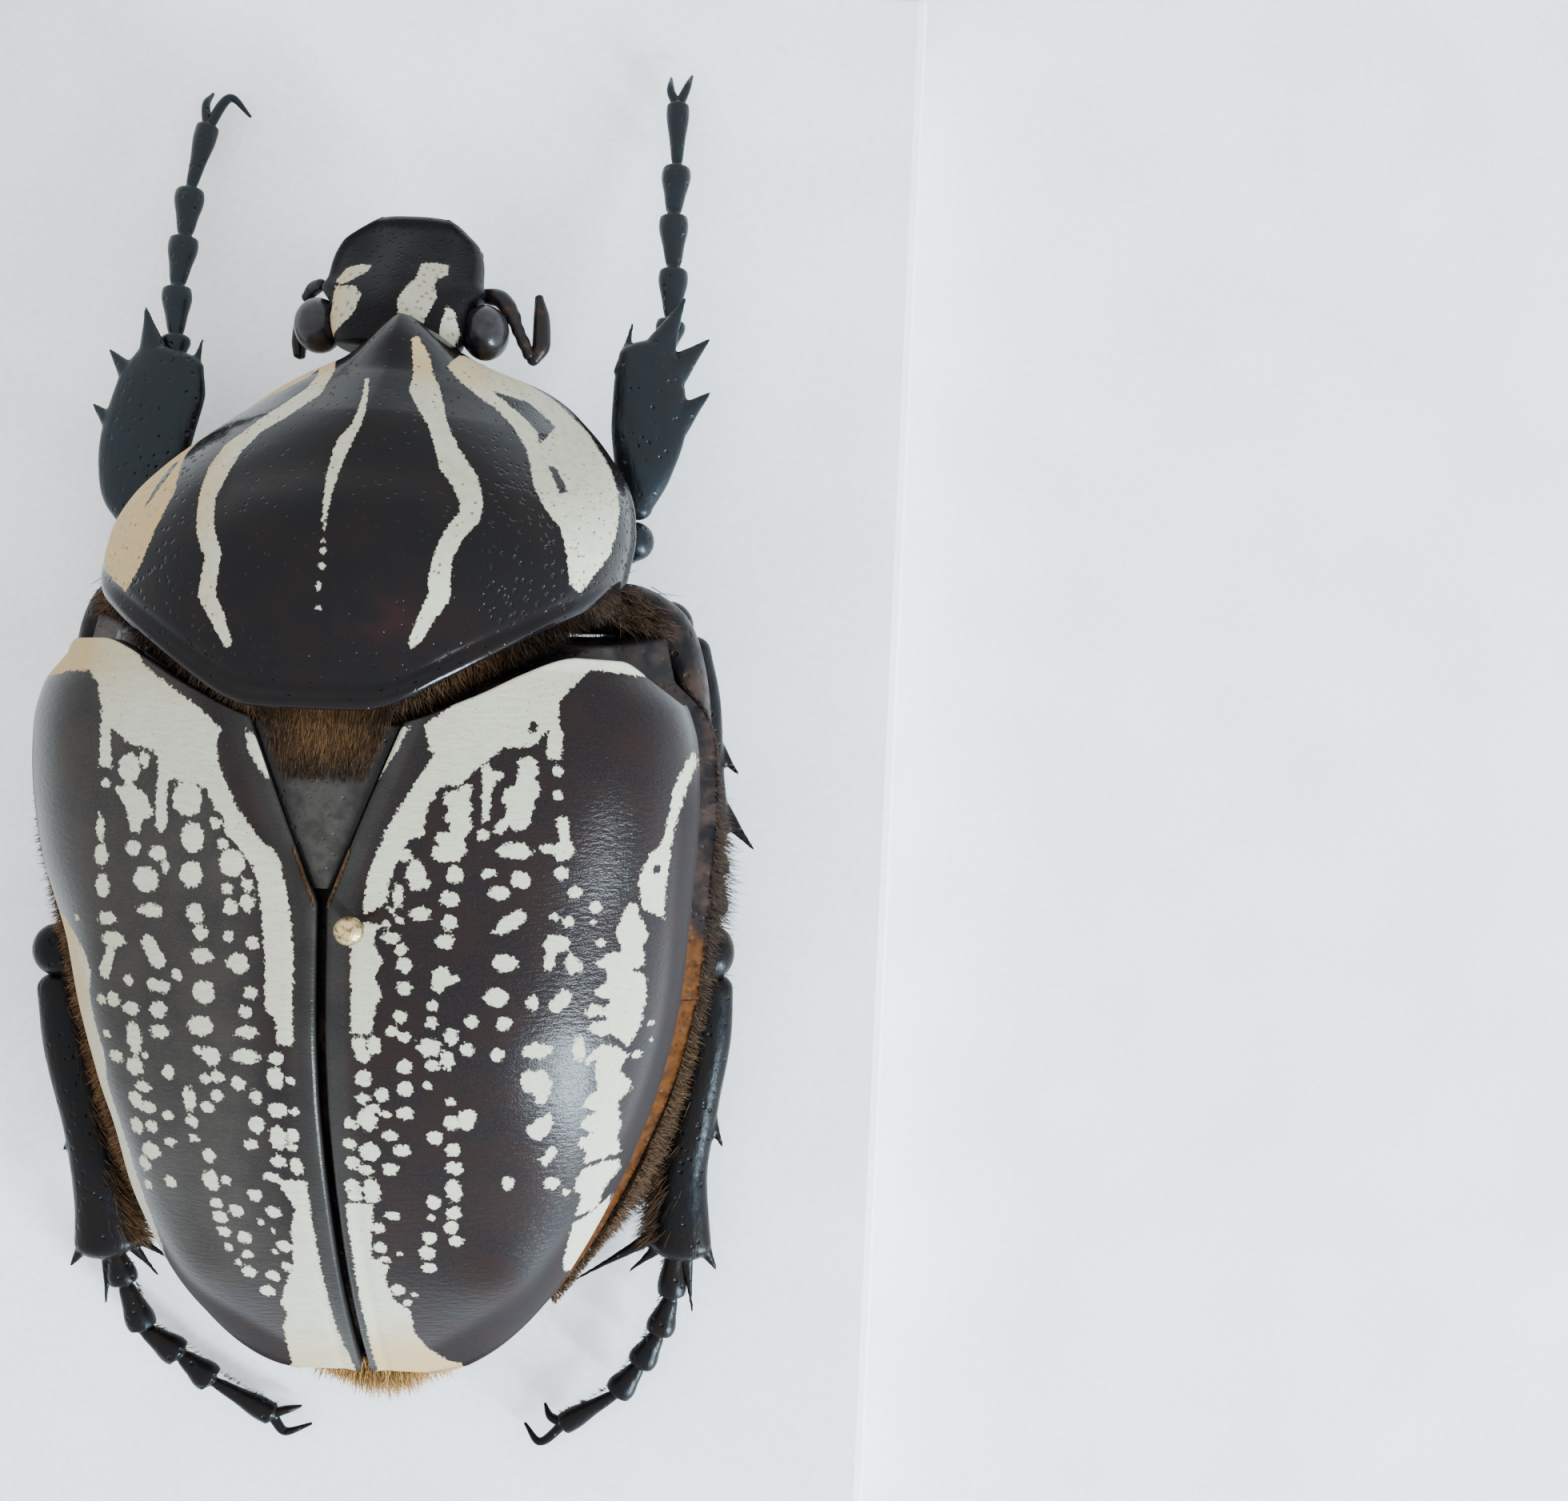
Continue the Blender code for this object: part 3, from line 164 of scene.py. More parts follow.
# Cream markings in plan. Fields are outlines, and trails are runs of (x, y, radius).
# Spots and holes are (x, y, radius) or (x, y, half x, half y), and streaks are black outlines in a field.
RIGHT_FIELDS = (
    ((4.3, 1.8), (3.2, 1.3), (2.7, 0.3), (2.8, -1.0), (3.7, 0.6)),
    ((5.0, 1.9), (7.6, 3.9), (10.5, 5.7), (13, 6.4), (16.5, 5.6), (16.5, 5.0), (15, 5.0), (13, 5.2),
     (12.2, 4.2), (11.6, 3.3), (11.7, 2.2), (11.9, 1.6), (11.9, 0.4), (11.2, 0.4), (11.1, 1.9),
     (10.6, 1.2), (10.2, 1.0), (9, 0.9), (8.3, 0.2), (7.6, -0.3), (7.0, -1.1), (5.9, -1.2), (5.3, -2.4),
     (5.1, -3.8), (4.4, -4.0), (3.9, -5.0), (3.4, -6.3), (3.3, -7.3), (2.8, -7.7), (2.1, -7.9),
     (2.2, -7.2), (2.3, -6), (2.9, -4.5), (3.2, -3.7), (3.8, -2.5), (4.4, -1.5), (5.0, -0.5), (5.6, 0.5),
     (5.3, 0.6), (5.0, 1.7)),
    ((6.2, -1.5), (6.8, -1.4), (7.1, -1.0), (7.5, -1.1), (7.4, -1.9), (7.6, -2.3), (7.4, -2.7),
     (7.6, -3.3), (7.2, -3.8), (7.3, -4.5), (7.0, -5.0), (5.9, -5.1), (5.5, -4.7), (5.7, -4.2),
     (6.0, -4.4), (5.7, -3.9), (5.9, -3.6), (6.5, -3.5), (6.4, -3.1), (6.1, -2.8), (6.4, -2.4),
     (6.0, -2.0)),
    ((9.7, 0.2), (10.2, 0.5), (10.7, 0.3), (10.8, -0.3), (10.6, -0.6), (10.9, -1.0), (10.8, -1.5),
     (10.5, -1.7), (10.6, -2.2), (10.3, -3.2), (9.7, -3.4), (9.4, -3.1), (9.0, -3.6), (8.6, -3.5),
     (8.7, -3.1), (9.1, -2.7), (9.3, -2.3), (9.0, -1.8), (9.1, -1.3), (9.7, -0.9), (9.8, -0.5)),
    ((7.9, -0.2), (8.2, 0.2), (8.5, -0.3), (9.0, -0.3), (9.1, -0.6), (8.7, -0.8), (8.5, -1.2), (8.4, -2.8),
     (8.0, -3.0), (8.0, -1.2)),
    ((12.0, -2.5), (12.3, -2.6), (12.4, -3.1), (12.3, -3.5), (12.7, -4.3), (12.6, -4.6), (12.0, -4.9),
     (11.6, -4.8), (11.7, -4.5), (11.1, -4.5), (10.9, -4.2), (11.0, -4.0), (11.7, -4.0), (11.9, -3.7),
     (11.7, -2.7)),
    ((15.1, -7.6), (15.4, -7.1), (15.8, -7.2), (15.8, -7.8), (16.2, -8.3), (16.3, -9.0), (16.0, -9.7),
     (16.2, -10.0), (16.1, -10.6), (15.6, -10.8), (16.2, -11.2), (16.3, -12.0), (16.0, -14.1),
     (15.4, -15.1), (14.6, -14.3), (14.0, -14.4), (13.4, -13.9), (13.7, -13.6), (14.4, -13.5),
     (14.2, -13.2), (13.5, -13.3), (13.3, -12.9), (13.7, -12.5), (14.2, -12.8), (14.6, -12.4),
     (13.8, -12.1), (13.7, -11.8), (14.2, -11.5), (14.4, -11.1), (14.3, -10.6), (13.8, -10.5),
     (13.7, -10.3), (14.5, -9.8), (15.1, -9.7), (14.7, -8.7)),
    ((13.4, -16.0), (13.3, -15.6), (14.2, -14.8), (15.2, -15.3), (15.4, -15.7), (15.0, -16.5),
     (15.5, -17.2), (15.5, -17.8), (14.9, -18.3), (15.0, -19.9), (14.8, -20.6), (14.9, -21.7),
     (13.1, -21.9), (13.3, -21.2), (12.9, -20.7), (13.0, -20.3), (13.6, -20.1), (13.0, -19.5),
     (13.2, -19.1), (13.8, -18.8), (13.2, -18.4), (13.3, -17.9), (13.9, -17.4), (13.8, -16.0),
     (14.0, -15.5)),
    ((12.8, -22.7), (13.1, -22.2), (14.1, -22.0), (14.8, -22.2), (14.8, -22.9), (14.0, -23.9),
     (13.7, -25.0), (13.4, -25.2), (12.6, -25.3), (12.9, -24.0), (12.6, -23.4)),
    ((12.4, -25.8), (13.0, -25.5), (14.2, -24.7), (13.9, -25.9), (13.1, -27.6), (12.4, -29.3),
     (11.9, -29.9), (11.7, -28.9), (12.0, -27.4)),
    ((18.1, 0.9), (18.3, 1.1), (18.4, 0.4), (17.9, -1.5), (17.5, -3.1), (17.1, -6.6), (17.1, -8.1),
     (16.0, -7.4), (15.8, -6.1), (16.0, -5.2), (16.4, -4.4), (16.9, -3.9), (17.2, -2.4), (17.4, -0.9)),
    ((10.1, -16.4), (10.4, -16.1), (11.3, -16.1), (11.7, -16.7), (11.6, -17.4), (11.3, -18.0),
     (10.9, -18.0), (10.7, -17.4), (10.2, -17.2)),
    ((10.3, -19.4), (10.8, -19.0), (11.5, -18.6), (11.7, -19.0), (11.6, -19.6), (11.0, -20.2),
     (10.5, -20.0)),
    ((11.2, -21.2), (11.5, -20.5), (11.8, -20.6), (11.8, -21.2), (11.2, -21.8), (10.9, -21.3)),
    ((10.2, -14.9), (10.9, -14.5), (11.7, -14.8), (11.7, -15.1), (11.1, -15.5), (10.3, -15.3)),
    ((11.5, -12.4), (12.2, -11.7), (12.7, -11.9), (12.5, -12.5), (11.9, -13.0), (11.6, -12.8)),
    ((11.2, -10.4), (11.3, -9.8), (11.2, -9.2), (11.5, -8.8), (12.3, -8.8), (12.6, -9.2), (12.4, -9.6),
     (11.8, -9.7), (11.8, -10.4), (11.4, -10.8)),
    ((12.2, -10.2), (12.5, -9.7), (13.2, -10.5), (13.0, -10.8), (12.5, -10.9)),
    ((8.6, -8.7), (9.1, -7.9), (10.1, -7.4), (10.4, -7.8), (9.9, -8.4), (9.1, -8.8)),
    ((5.7, -10.8), (6.1, -10.5), (6.5, -10.6), (6.6, -11.0), (7.0, -10.9), (7.1, -11.3), (6.5, -11.4),
     (6.1, -11.9), (5.7, -11.8)),
    ((1.5, -8.3), (2.9, -8.4), (2.7, -9.5), (3.2, -10.3), (2.8, -11.2), (3.2, -12), (2.8, -13),
     (2.7, -14.2), (1.6, -14.2)),
    ((0.7, -24), (2.2, -24), (1.9, -26), (1.7, -27.5), (2.6, -28), (2.3, -29), (2.6, -30.5), (3.4, -31.2),
     (3.4, -33), (4.0, -34.2), (5.0, -35.2), (6.3, -35.7), (6.3, -37), (0.7, -37)),
)
RIGHT_SPOTS = (
    (4.2, -4.8, 0.35), (4.8, -5.8, 0.5, 0.8), (5.3, -6.2, 0.25), (3.9, -6.9, 0.3, 0.55),
    (5.0, -7.8, 0.6, 0.35), (3.6, -7.7, 0.2), (4.0, -8.2, 0.2), (3.3, -8.4, 0.2), (3.6, -9.1, 0.45, 0.3),
    (4.1, -9.7, 0.3), (4.3, -10.5, 0.4), (6.75, -5.7, 0.45), (6.5, -7.0, 0.5, 0.4), (6.5, -8.2, 0.4),
    (6.3, -9.2, 0.5, 0.4), (5.7, -12.6, 0.3), (5.7, -13.5, 0.3), (6.7, -14.2, 0.35, 0.45),
    (5.6, -14.8, 0.6, 0.5), (5.7, -15.8, 0.35, 0.3), (6.5, -15.5, 0.35, 0.5), (5.5, -16.9, 0.25),
    (6.6, -17.8, 0.25), (6.6, -19.0, 0.45, 0.4), (7.4, -18.8, 0.45, 0.6), (5.7, -19.9, 0.4),
    (6.6, -20.6, 0.4), (6.6, -21.7, 0.45, 0.4), (6.5, -23.1, 0.4, 0.7), (5.4, -23.8, 0.4),
    (5.2, -24.8, 0.2), (6.4, -24.5, 0.4), (6.2, -25.4, 0.4), (6.4, -26.3, 0.4, 0.35), (5.0, -26.1, 0.4),
    (4.8, -27.1, 0.45), (4.8, -28.1, 0.4, 0.35), (8.1, -3.6, 0.3), (8.4, -5.6, 0.35, 0.25),
    (8.95, -6.6, 0.5, 0.4), (8.9, -12.1, 0.6, 0.5), (9.3, -13.5, 0.4), (9.0, -15.2, 0.35),
    (7.7, -13.4, 0.35), (7.5, -14.9, 0.35), (9.7, -4.4, 0.85, 0.45), (10.0, -5.9, 0.5, 0.45),
    (9.3, -10.3, 0.65, 0.45), (11.7, -0.2, 0.3), (11.8, -1.4, 0.25), (12.0, -5.5, 0.35), (12.7, -6.5, 0.35),
    (11.7, -7.8, 0.2), (12.4, -8.1, 0.3), (13.7, -7.3, 0.3), (13.6, -8.1, 0.15), (14.0, -9.2, 0.25),
    (10.7, -12.4, 0.3, 0.4), (9.3, -22.7, 0.3, 0.4), (11.5, -22.9, 0.4), (12.2, -23.6, 0.2),
    (13.0, -15, 0.3, 0.7), (15.8, -15.7, 0.25), (16.5, -14, 0.15), (16.5, -15, 0.1), (2.0, -14.8, 0.4),
    (2.2, -15.4, 0.4), (2.8, -14.8, 0.35, 0.5), (2.2, -16.6, 0.45), (2.1, -17.7, 0.35, 0.3),
    (3.1, -17.5, 0.4), (1.4, -19.2, 0.35), (2.3, -18.9, 0.5, 0.7), (2.7, -18.3, 0.3),
    (3.3, -18.6, 0.3, 0.2), (1.3, -20.4, 0.35), (2.3, -20.8, 0.55), (1.3, -21.5, 0.4),
    (2.0, -21.9, 0.4, 0.3), (3.3, -21.8, 0.45, 0.35), (1.2, -22.9, 0.4), (2.2, -23.2, 0.45, 0.8),
    (1.3, -23.5, 0.4), (4.3, -11.7, 0.4, 0.35), (4.15, -13.2, 0.35), (3.7, -14.0, 0.3), (4.35, -14.3, 0.3),
    (4.3, -15.9, 0.4), (4.3, -17.1, 0.4), (4.3, -18.5, 0.4), (3.4, -19.8, 0.4, 0.3),
    (4.0, -20.7, 0.45, 0.35), (2.35, -25.5, 0.35, 0.3), (3.15, -24.7, 0.4, 0.3), (2.3, -26.8, 0.35),
    (2.45, -27.6, 0.35, 0.25), (3.3, -27.2, 0.15), (2.9, -29.7, 0.4), (3.8, -30.0, 0.2), (3.3, -30.6, 0.25),
)
RIGHT_HOLES = ((10.4, 2.0, 0.22, 0.3), (16.7, -5.3, 0.2, 0.25))
LEFT_FIELDS = (
    ((-4.1, 1.3), (-3.5, 0.9), (-2.9, 0.1), (-2.6, -1.1), (-2.9, -1.2), (-3.6, -0.3), (-4.0, 0.5)),
    ((-5.3, 1.2), (-6.5, 2.2), (-8, 3.2), (-9.5, 4.2), (-10.5, 5.3), (-12, 5.8), (-14, 6.2), (-16.8, 5.6),
     (-17.4, 3.9), (-16.5, 3.6), (-15.5, 3.7), (-14.5, 3.9), (-13, 4.0), (-12.3, 3.3), (-11.9, 2.0),
     (-11.9, -1.0), (-11.2, -1.0), (-11.3, 1.0), (-10.8, 0.7), (-10.3, 0.3), (-9.0, 0.0), (-8.7, -0.3),
     (-8.6, -1.7), (-8.2, -1.7), (-8.0, -1.5), (-7.3, -1.5), (-6.0, -1.8), (-5.5, -2.9), (-5.1, -3.2),
     (-4.9, -4.2), (-4.2, -4.8), (-3.6, -5.6), (-3.3, -6.5), (-3.1, -8), (-2.9, -10), (-2.8, -13.2),
     (-2.3, -13.6), (-2.2, -15), (-1.4, -15), (-1.4, -10), (-1.6, -8), (-2.0, -6), (-2.2, -5.0),
     (-3.0, -4.5), (-3.8, -3.5), (-4.5, -2.5), (-5.0, -1.4), (-5.4, -0.5), (-5.6, 0.5)),
    ((-11.0, -2.0), (-10, -1.9), (-9.2, -2.3), (-8.8, -3.3), (-9.4, -3.6), (-9.6, -4.2), (-10.1, -4.3),
     (-10.3, -3.3)),
    ((-1.3, -22.7), (-2.9, -22.7), (-2.1, -24.5), (-2.5, -26), (-2.6, -27.5), (-2.8, -28.5), (-3.4, -29.7),
     (-3.9, -31), (-3.7, -32), (-4.2, -33), (-4.3, -35), (-4.4, -37), (-0.5, -37), (-0.7, -35),
     (-1.0, -33), (-1.1, -31), (-1.2, -27)),
    ((-18, -9), (-15.0, -9.2), (-14.1, -10), (-13.3, -10.9), (-12.9, -12), (-13.1, -13.3), (-12.7, -15.1),
     (-12.3, -16.5), (-12.4, -18), (-12.0, -20), (-11.8, -21.3), (-11.6, -23), (-11.3, -25), (-10.8, -28),
     (-10.9, -29.5), (-14, -29), (-18, -20)),
)
LEFT_TRAILS = (
    ((-8.4, -1.7, 0.3), (-8.4, -3.9, 0.3)), ((-9.0, -12.2, 0.32), (-8.3, -12.3, 0.32)),
    ((-9.2, -10.0, 0.4), (-8.7, -10.9, 0.45)), ((-11.5, -10.6, 0.3), (-11.9, -11.8, 0.35)),
)
LEFT_SPOTS = (
    (-9.4, -0.5, 0.3, 0.4), (-10.2, -1.0, 0.6, 0.8), (-11.5, -1.8, 0.25), (-7.0, -2.4, 0.8, 0.9),
    (-5.5, -3.6, 0.3), (-5.1, -4.6, 0.3), (-6.7, -4.4, 0.65, 0.75), (-6.8, -6.3, 0.6, 0.7),
    (-10, -5.1, 0.45, 0.4), (-8.6, -5.3, 0.5, 0.4), (-8.2, -6.0, 0.2, 0.3), (-9.3, -6.7, 0.75, 0.65),
    (-11.9, -4.2, 0.25, 0.7), (-11.9, -5.6, 0.4, 0.6), (-11.9, -7.2, 0.4, 0.7), (-4.6, -5.6, 0.7),
    (-4.9, -6.9, 0.3), (-3.8, -6.7, 0.3), (-3.8, -7.6, 0.35, 0.5), (-4.7, -7.9, 0.4), (-6.6, -8.3, 0.5),
    (-9.1, -8.3, 0.7, 0.35), (-11.7, -8.9, 0.6, 0.35), (-13.8, -9.1, 0.2), (-6.3, -9.3, 0.4),
    (-4.8, -9.4, 0.3), (-3.5, -9.7, 0.35), (-11.3, -10.0, 0.75, 0.4), (-6.2, -10.5, 0.6, 0.4),
    (-4.3, -10.8, 0.6, 0.5), (-7.6, -11.6, 0.3), (-10.4, -12.1, 0.3), (-6.1, -12.4, 0.6),
    (-3.6, -12.3, 0.35), (-3.9, -13.3, 0.35), (-11.4, -13.2, 0.4), (-12.2, -13.3, 0.3),
    (-10.3, -13.6, 0.5, 0.4), (-8.7, -13.5, 0.5, 0.45), (-6.3, -14.2, 0.7, 0.55), (-3.8, -14.4, 0.6, 0.35),
    (-8.6, -14.7, 0.6, 0.35), (-10.2, -15.2, 0.45, 0.9), (-12.0, -15.2, 0.25), (-6.5, -15.5, 0.25),
    (-5.8, -15.8, 0.5), (-3.9, -15.7, 0.75, 0.4), (-2.3, -15.7, 0.4, 0.35), (-9.6, -16.1, 0.2),
    (-11.5, -16.4, 0.45, 0.35), (-10.3, -16.8, 0.55, 0.5), (-8.3, -16.9, 0.35, 0.4), (-6.2, -17.1, 0.3),
    (-5.5, -16.9, 0.35), (-4.4, -17.2, 0.4), (-2.4, -16.8, 0.45, 0.6), (-1.6, -16.9, 0.25),
    (-9.9, -17.9, 0.5, 0.3), (-10.5, -18.7, 0.4, 0.5), (-9.8, -19.1, 0.5, 0.35), (-7.2, -18.3, 0.35, 0.7),
    (-6.2, -18.7, 0.35, 0.3), (-5.6, -18.0, 0.35), (-3.5, -17.9, 0.3, 0.4), (-2.4, -18.6, 0.5, 0.45),
    (-1.5, -18.6, 0.25), (-8.6, -19.4, 0.35, 0.3), (-7.2, -19.6, 0.35), (-3.6, -19.5, 0.45, 0.5),
    (-10.7, -20.3, 0.4, 0.5), (-9.7, -20.2, 0.4, 0.35), (-7.2, -20.6, 0.3, 0.25), (-4.0, -20.7, 0.4, 0.3),
    (-2.5, -20.2, 0.45, 0.7), (-1.7, -20.0, 0.35, 0.4), (-1.8, -20.7, 0.25), (-8.7, -21.0, 0.35, 0.25),
    (-10.0, -21.7, 0.6, 0.5), (-6.5, -21.6, 0.35, 0.45), (-2.6, -21.6, 0.4, 0.35), (-1.7, -21.9, 0.35, 0.5),
    (-10.6, -22.6, 0.4, 0.5), (-3.1, -22.6, 0.45, 0.3), (-1.7, -23.1, 0.4, 0.3), (-9.1, -23.5, 0.35, 0.4),
    (-6.6, -23.1, 0.45, 0.65), (-5.7, -23.0, 0.3), (-4.2, -23.8, 0.4), (-10.7, -24.0, 0.3),
    (-6.5, -24.5, 0.35), (-5.4, -24.9, 0.4), (-6.4, -25.4, 0.45, 0.4), (-6.3, -26.3, 0.4, 0.35),
    (-5.2, -26.6, 0.4), (-6.2, -27.3, 0.25), (-5.2, -27.7, 0.35, 0.3), (-5.8, -28.3, 0.25, 0.2),
    (-5.3, -28.9, 0.4), (-4.0, -29.1, 0.4, 0.35), (-4.5, -30.2, 0.45, 0.4), (-3.3, -24.8, 0.45, 0.35),
    (-4.1, -25.5, 0.2), (-3.5, -26.0, 0.15), (-3.0, -27.0, 0.45, 0.4), (-3.6, -27.4, 0.25, 0.15),
    (-3.1, -28.4, 0.35, 0.3),
)
# Shield markings, x from the prothorax's own middle
SHIELD_FIELDS = (
    ((4.5, 22.8), (4.3, 21.7), (5.0, 20.9), (6.2, 20.0), (7.3, 19.3), (8.3, 18.3), (9.2, 17.0),
     (9.6, 16.0), (9.9, 15.0), (10.4, 14.0), (10.9, 13.3), (11.6, 12.5), (11.9, 11.5), (12.1, 10.5),
     (12.2, 9.6), (12.6, 9.2), (12.9, 9.6), (13.4, 10.5), (13.9, 11.5), (14.1, 12.8), (14.1, 14),
     (13.8, 15.4), (13.2, 16.8), (12.4, 18), (11.4, 19.4), (9.5, 21), (8, 22), (6.5, 22.9), (5.0, 23.2)),
    ((-2.7, 22.3), (-3.6, 20.9), (-5.1, 20.2), (-7.3, 19.6), (-8.5, 18.3), (-9.5, 17.2), (-9.44, 15.95),
     (-8.9, 14.6), (-8.6, 13.5), (-8.9, 12.3), (-9.3, 11), (-9.8, 9.5), (-10.6, 8.2), (-11.5, 7.6),
     (-13.5, 8.5), (-14.3, 11), (-13.9, 14), (-12.3, 17.5), (-10, 20.3), (-6, 22.6), (-3, 23.2)),
)
SHIELD_TRAILS = (
    ((0.6, 20.3, 0.1), (0.8, 19.3, 0.15), (0.95, 18.3, 0.2), (0.85, 17.3, 0.25), (0.4, 16.4, 0.4),
     (0.2, 15.4, 0.35), (0.15, 14.4, 0.28), (0.2, 13, 0.18), (0.25, 11.5, 0.09)),
    ((-2.9, 22.2, 0.5), (-2.3, 21.0, 0.55), (-2.5, 19.7, 0.65), (-3.6, 18.6, 0.65), (-5, 17.4, 0.5),
     (-6.0, 16.1, 0.7), (-6.3, 15.0, 0.7), (-6.5, 13, 0.48), (-6.1, 11.3, 0.5), (-5.45, 10, 0.45),
     (-5.6, 8, 0.48), (-4.9, 6.8, 0.38), (-4.3, 5.6, 0.25)),
    ((2.6, 23, 0.2), (3.0, 22, 0.4), (3.3, 21, 0.45), (3.6, 20, 0.7), (4.2, 18.9, 0.6), (4.8, 17.8, 0.45),
     (5.4, 16.6, 0.5), (5.9, 15.6, 0.65), (6.7, 14.6, 0.65), (7.2, 13.5, 0.52), (7.2, 12.7, 0.55),
     (6.6, 11.6, 0.5), (6.2, 10.4, 0.45), (6.1, 9.2, 0.52), (6.2, 8.5, 0.5), (5.6, 7.3, 0.4),
     (5.2, 6.3, 0.3), (5.0, 5.9, 0.2)),
)
SHIELD_SPOTS = (
    (0.3, 10.9, 0.14), (0.35, 10.4, 0.2), (0.35, 9.6, 0.2), (0.3, 8.6, 0.16, 0.28), (0.3, 7.5, 0.17),
)
SHIELD_STREAKS = (
    ((6.7, 20.6), (8.5, 20.3), (10.1, 19.0), (10.0, 18.4), (9.7, 17.3), (9.5, 18.2), (8.5, 19.2),
     (7.2, 20.2)),
    ((10.4, 16.2), (10.8, 16.1), (11.3, 15.3), (11.6, 14.7), (11.3, 14.5), (10.9, 15.2)),
    ((-9.6, 15.6), (-10.0, 15.4), (-10.3, 13.4), (-10.6, 12.2), (-10.1, 13.2), (-9.7, 14.4)),
)
# Head markings, x from the head's own middle
HEAD_FIELDS = (
    ((-3.9, 27.2), (-3.4, 28.2), (-2.6, 28.5), (-2.0, 28.4), (-2.1, 28.0), (-3.0, 27.2), (-3.5, 27.0)),
    ((0.9, 28.6), (1.6, 28.8), (2.4, 28.7), (2.5, 28.0), (2.0, 27.6), (1.9, 27.2), (2.2, 26.4),
     (1.9, 25.4), (1.6, 24.6), (2.4, 23.8), (1.2, 23.4), (0.9, 24.2), (0.2, 25.2), (0.1, 26.0),
     (0.5, 27.0), (0.9, 27.7)),
    ((-3.8, 26.9), (-2.6, 26.9), (-2.1, 26.3), (-2.3, 25.2), (-3.0, 24.5), (-3.7, 24.0), (-4.3, 23.5),
     (-4.6, 24.4), (-3.9, 25.5)),
    ((2.5, 24.0), (3.2, 23.6), (3.5, 24.4), (3.2, 25.6), (2.8, 25.9), (2.6, 25.0)),
    ((-4.8, 23.4), (-4.2, 23.4), (-4.4, 24.8), (-4.7, 25.3)),
)

# Legs as posed: keys are (x, y, h, half width, half thickness), teeth are (root, tip, root radius)
FRONT_RIGHT = {
    "femur": ((2.0, 12.0, 3.3, 1.4, 1.3), (4.4, 12.3, 3.4, 1.6, 1.4), (5.7, 12.5, 3.7, 1.1, 1.1),
              (8.4, 12.9, 4.5, 1.9, 1.4), (11.4, 13.3, 5.5, 1.8, 1.35), (13.5, 13.6, 6.1, 1.2, 1.15)),
    "tibia": ((13.55, 15.6, 6.3, 0.9, 0.75), (13.8, 17.8, 6.3, 1.75, 0.9), (14.0, 20.8, 6.1, 2.3, 0.9),
              (13.85, 23.6, 5.9, 2.1, 0.85), (13.6, 25.1, 5.7, 1.7, 0.75)),
    "teeth": (((15.0, 20.4, 6.1), (17.6, 22.8, 5.9), 1.35), ((14.7, 23.4, 5.9), (17.4, 26.1, 5.6), 1.35),
              ((14.1, 24.6, 5.8), (15.8, 28.6, 5.4), 1.25), ((12.3, 24.2, 5.8), (12.65, 26.9, 5.4), 0.55)),
    "foot": ((14.7, 25.2, 5.0), (14.98, 27.4, 4.6), (14.89, 30.75, 4.0), (14.68, 34.25, 3.2),
             (14.68, 37.5, 2.4), (14.51, 41.8, 1.6)),
    "claws": (((14.0, 42.6, 1.5), (13.95, 43.5, 0.9)), ((15.0, 42.7, 1.5), (15.26, 43.7, 0.9))),
}
FRONT_LEFT = {
    "femur": ((-2.0, 12.0, 3.3, 1.4, 1.3), (-4.4, 12.2, 3.4, 1.6, 1.4), (-5.8, 12.2, 3.7, 1.1, 1.1),
              (-9.0, 12.0, 4.5, 1.9, 1.4), (-12.6, 11.8, 5.5, 1.8, 1.35), (-15.0, 11.7, 6.1, 1.2, 1.15)),
    "tibia": ((-16.4, 13.2, 6.3, 1.0, 0.8), (-16.8, 15.4, 6.3, 2.1, 0.9), (-16.3, 18.6, 6.1, 2.75, 0.9),
              (-15.6, 21.6, 5.9, 2.7, 0.85), (-15.2, 23.4, 5.7, 2.1, 0.75)),
    "teeth": (((-17.2, 18.3, 6.1), (-19.7, 20.5, 5.9), 1.35),
              ((-16.5, 21.2, 5.9), (-18.95, 23.9, 5.6), 1.35),
              ((-16.0, 22.8, 5.8), (-16.95, 26.6, 5.4), 1.25),
              ((-13.9, 22.2, 5.8), (-13.4, 24.8, 5.4), 0.6)),
    "foot": ((-15.2, 23.4, 5.0), (-15.35, 25.1, 4.6), (-15.6, 28.3, 4.0), (-15.55, 31.6, 3.2),
             (-15.6, 34.8, 2.4), (-14.9, 39.2, 1.6)),
    "claws": (((-15.2, 40.4, 1.4), (-15.0, 41.3, 0.8)), ((-13.6, 40.9, 1.4), (-12.6, 40.0, 0.8))),
}
MIDDLE_RIGHT = {
    "femur": ((2.4, 1.0, 1.25, 1.3, 0.7), (5.2, 1.6, 1.9, 1.5, 0.9), (6.7, 2.2, 2.5, 1.1, 0.9),
              (10.0, 4.3, 4.0, 1.8, 1.4), (13.4, 6.9, 6.0, 1.8, 1.4), (16.0, 8.6, 7.4, 1.45, 1.3)),
    "tibia": ((17.4, 7.0, 7.6, 1.05, 0.95), (17.9, 3.8, 6.7, 1.25, 1.05), (18.15, -0.2, 5.6, 1.3, 1.1),
              (18.5, -3.6, 4.6, 1.4, 1.1)),
    "teeth": (((18.6, 1.6, 5.8), (20.3, -0.2, 5.4), 0.75), ((19.0, -2.2, 4.8), (21.4, -4.8, 4.3), 0.8),
              ((18.2, -3.2, 4.5), (18.0, -5.8, 3.4), 0.5)),
    "foot": ((18.7, -4.4, 3.8), (19.1, -6.6, 3.2), (19.0, -9.0, 2.5), (18.2, -11.2, 1.9),
             (17.0, -13.2, 1.4), (15.2, -16.4, 1.1)),
    "claws": (((14.9, -17.4, 1.0), (15.0, -18.3, 0.6)), ((14.1, -17.1, 1.0), (13.6, -17.9, 0.6))),
}
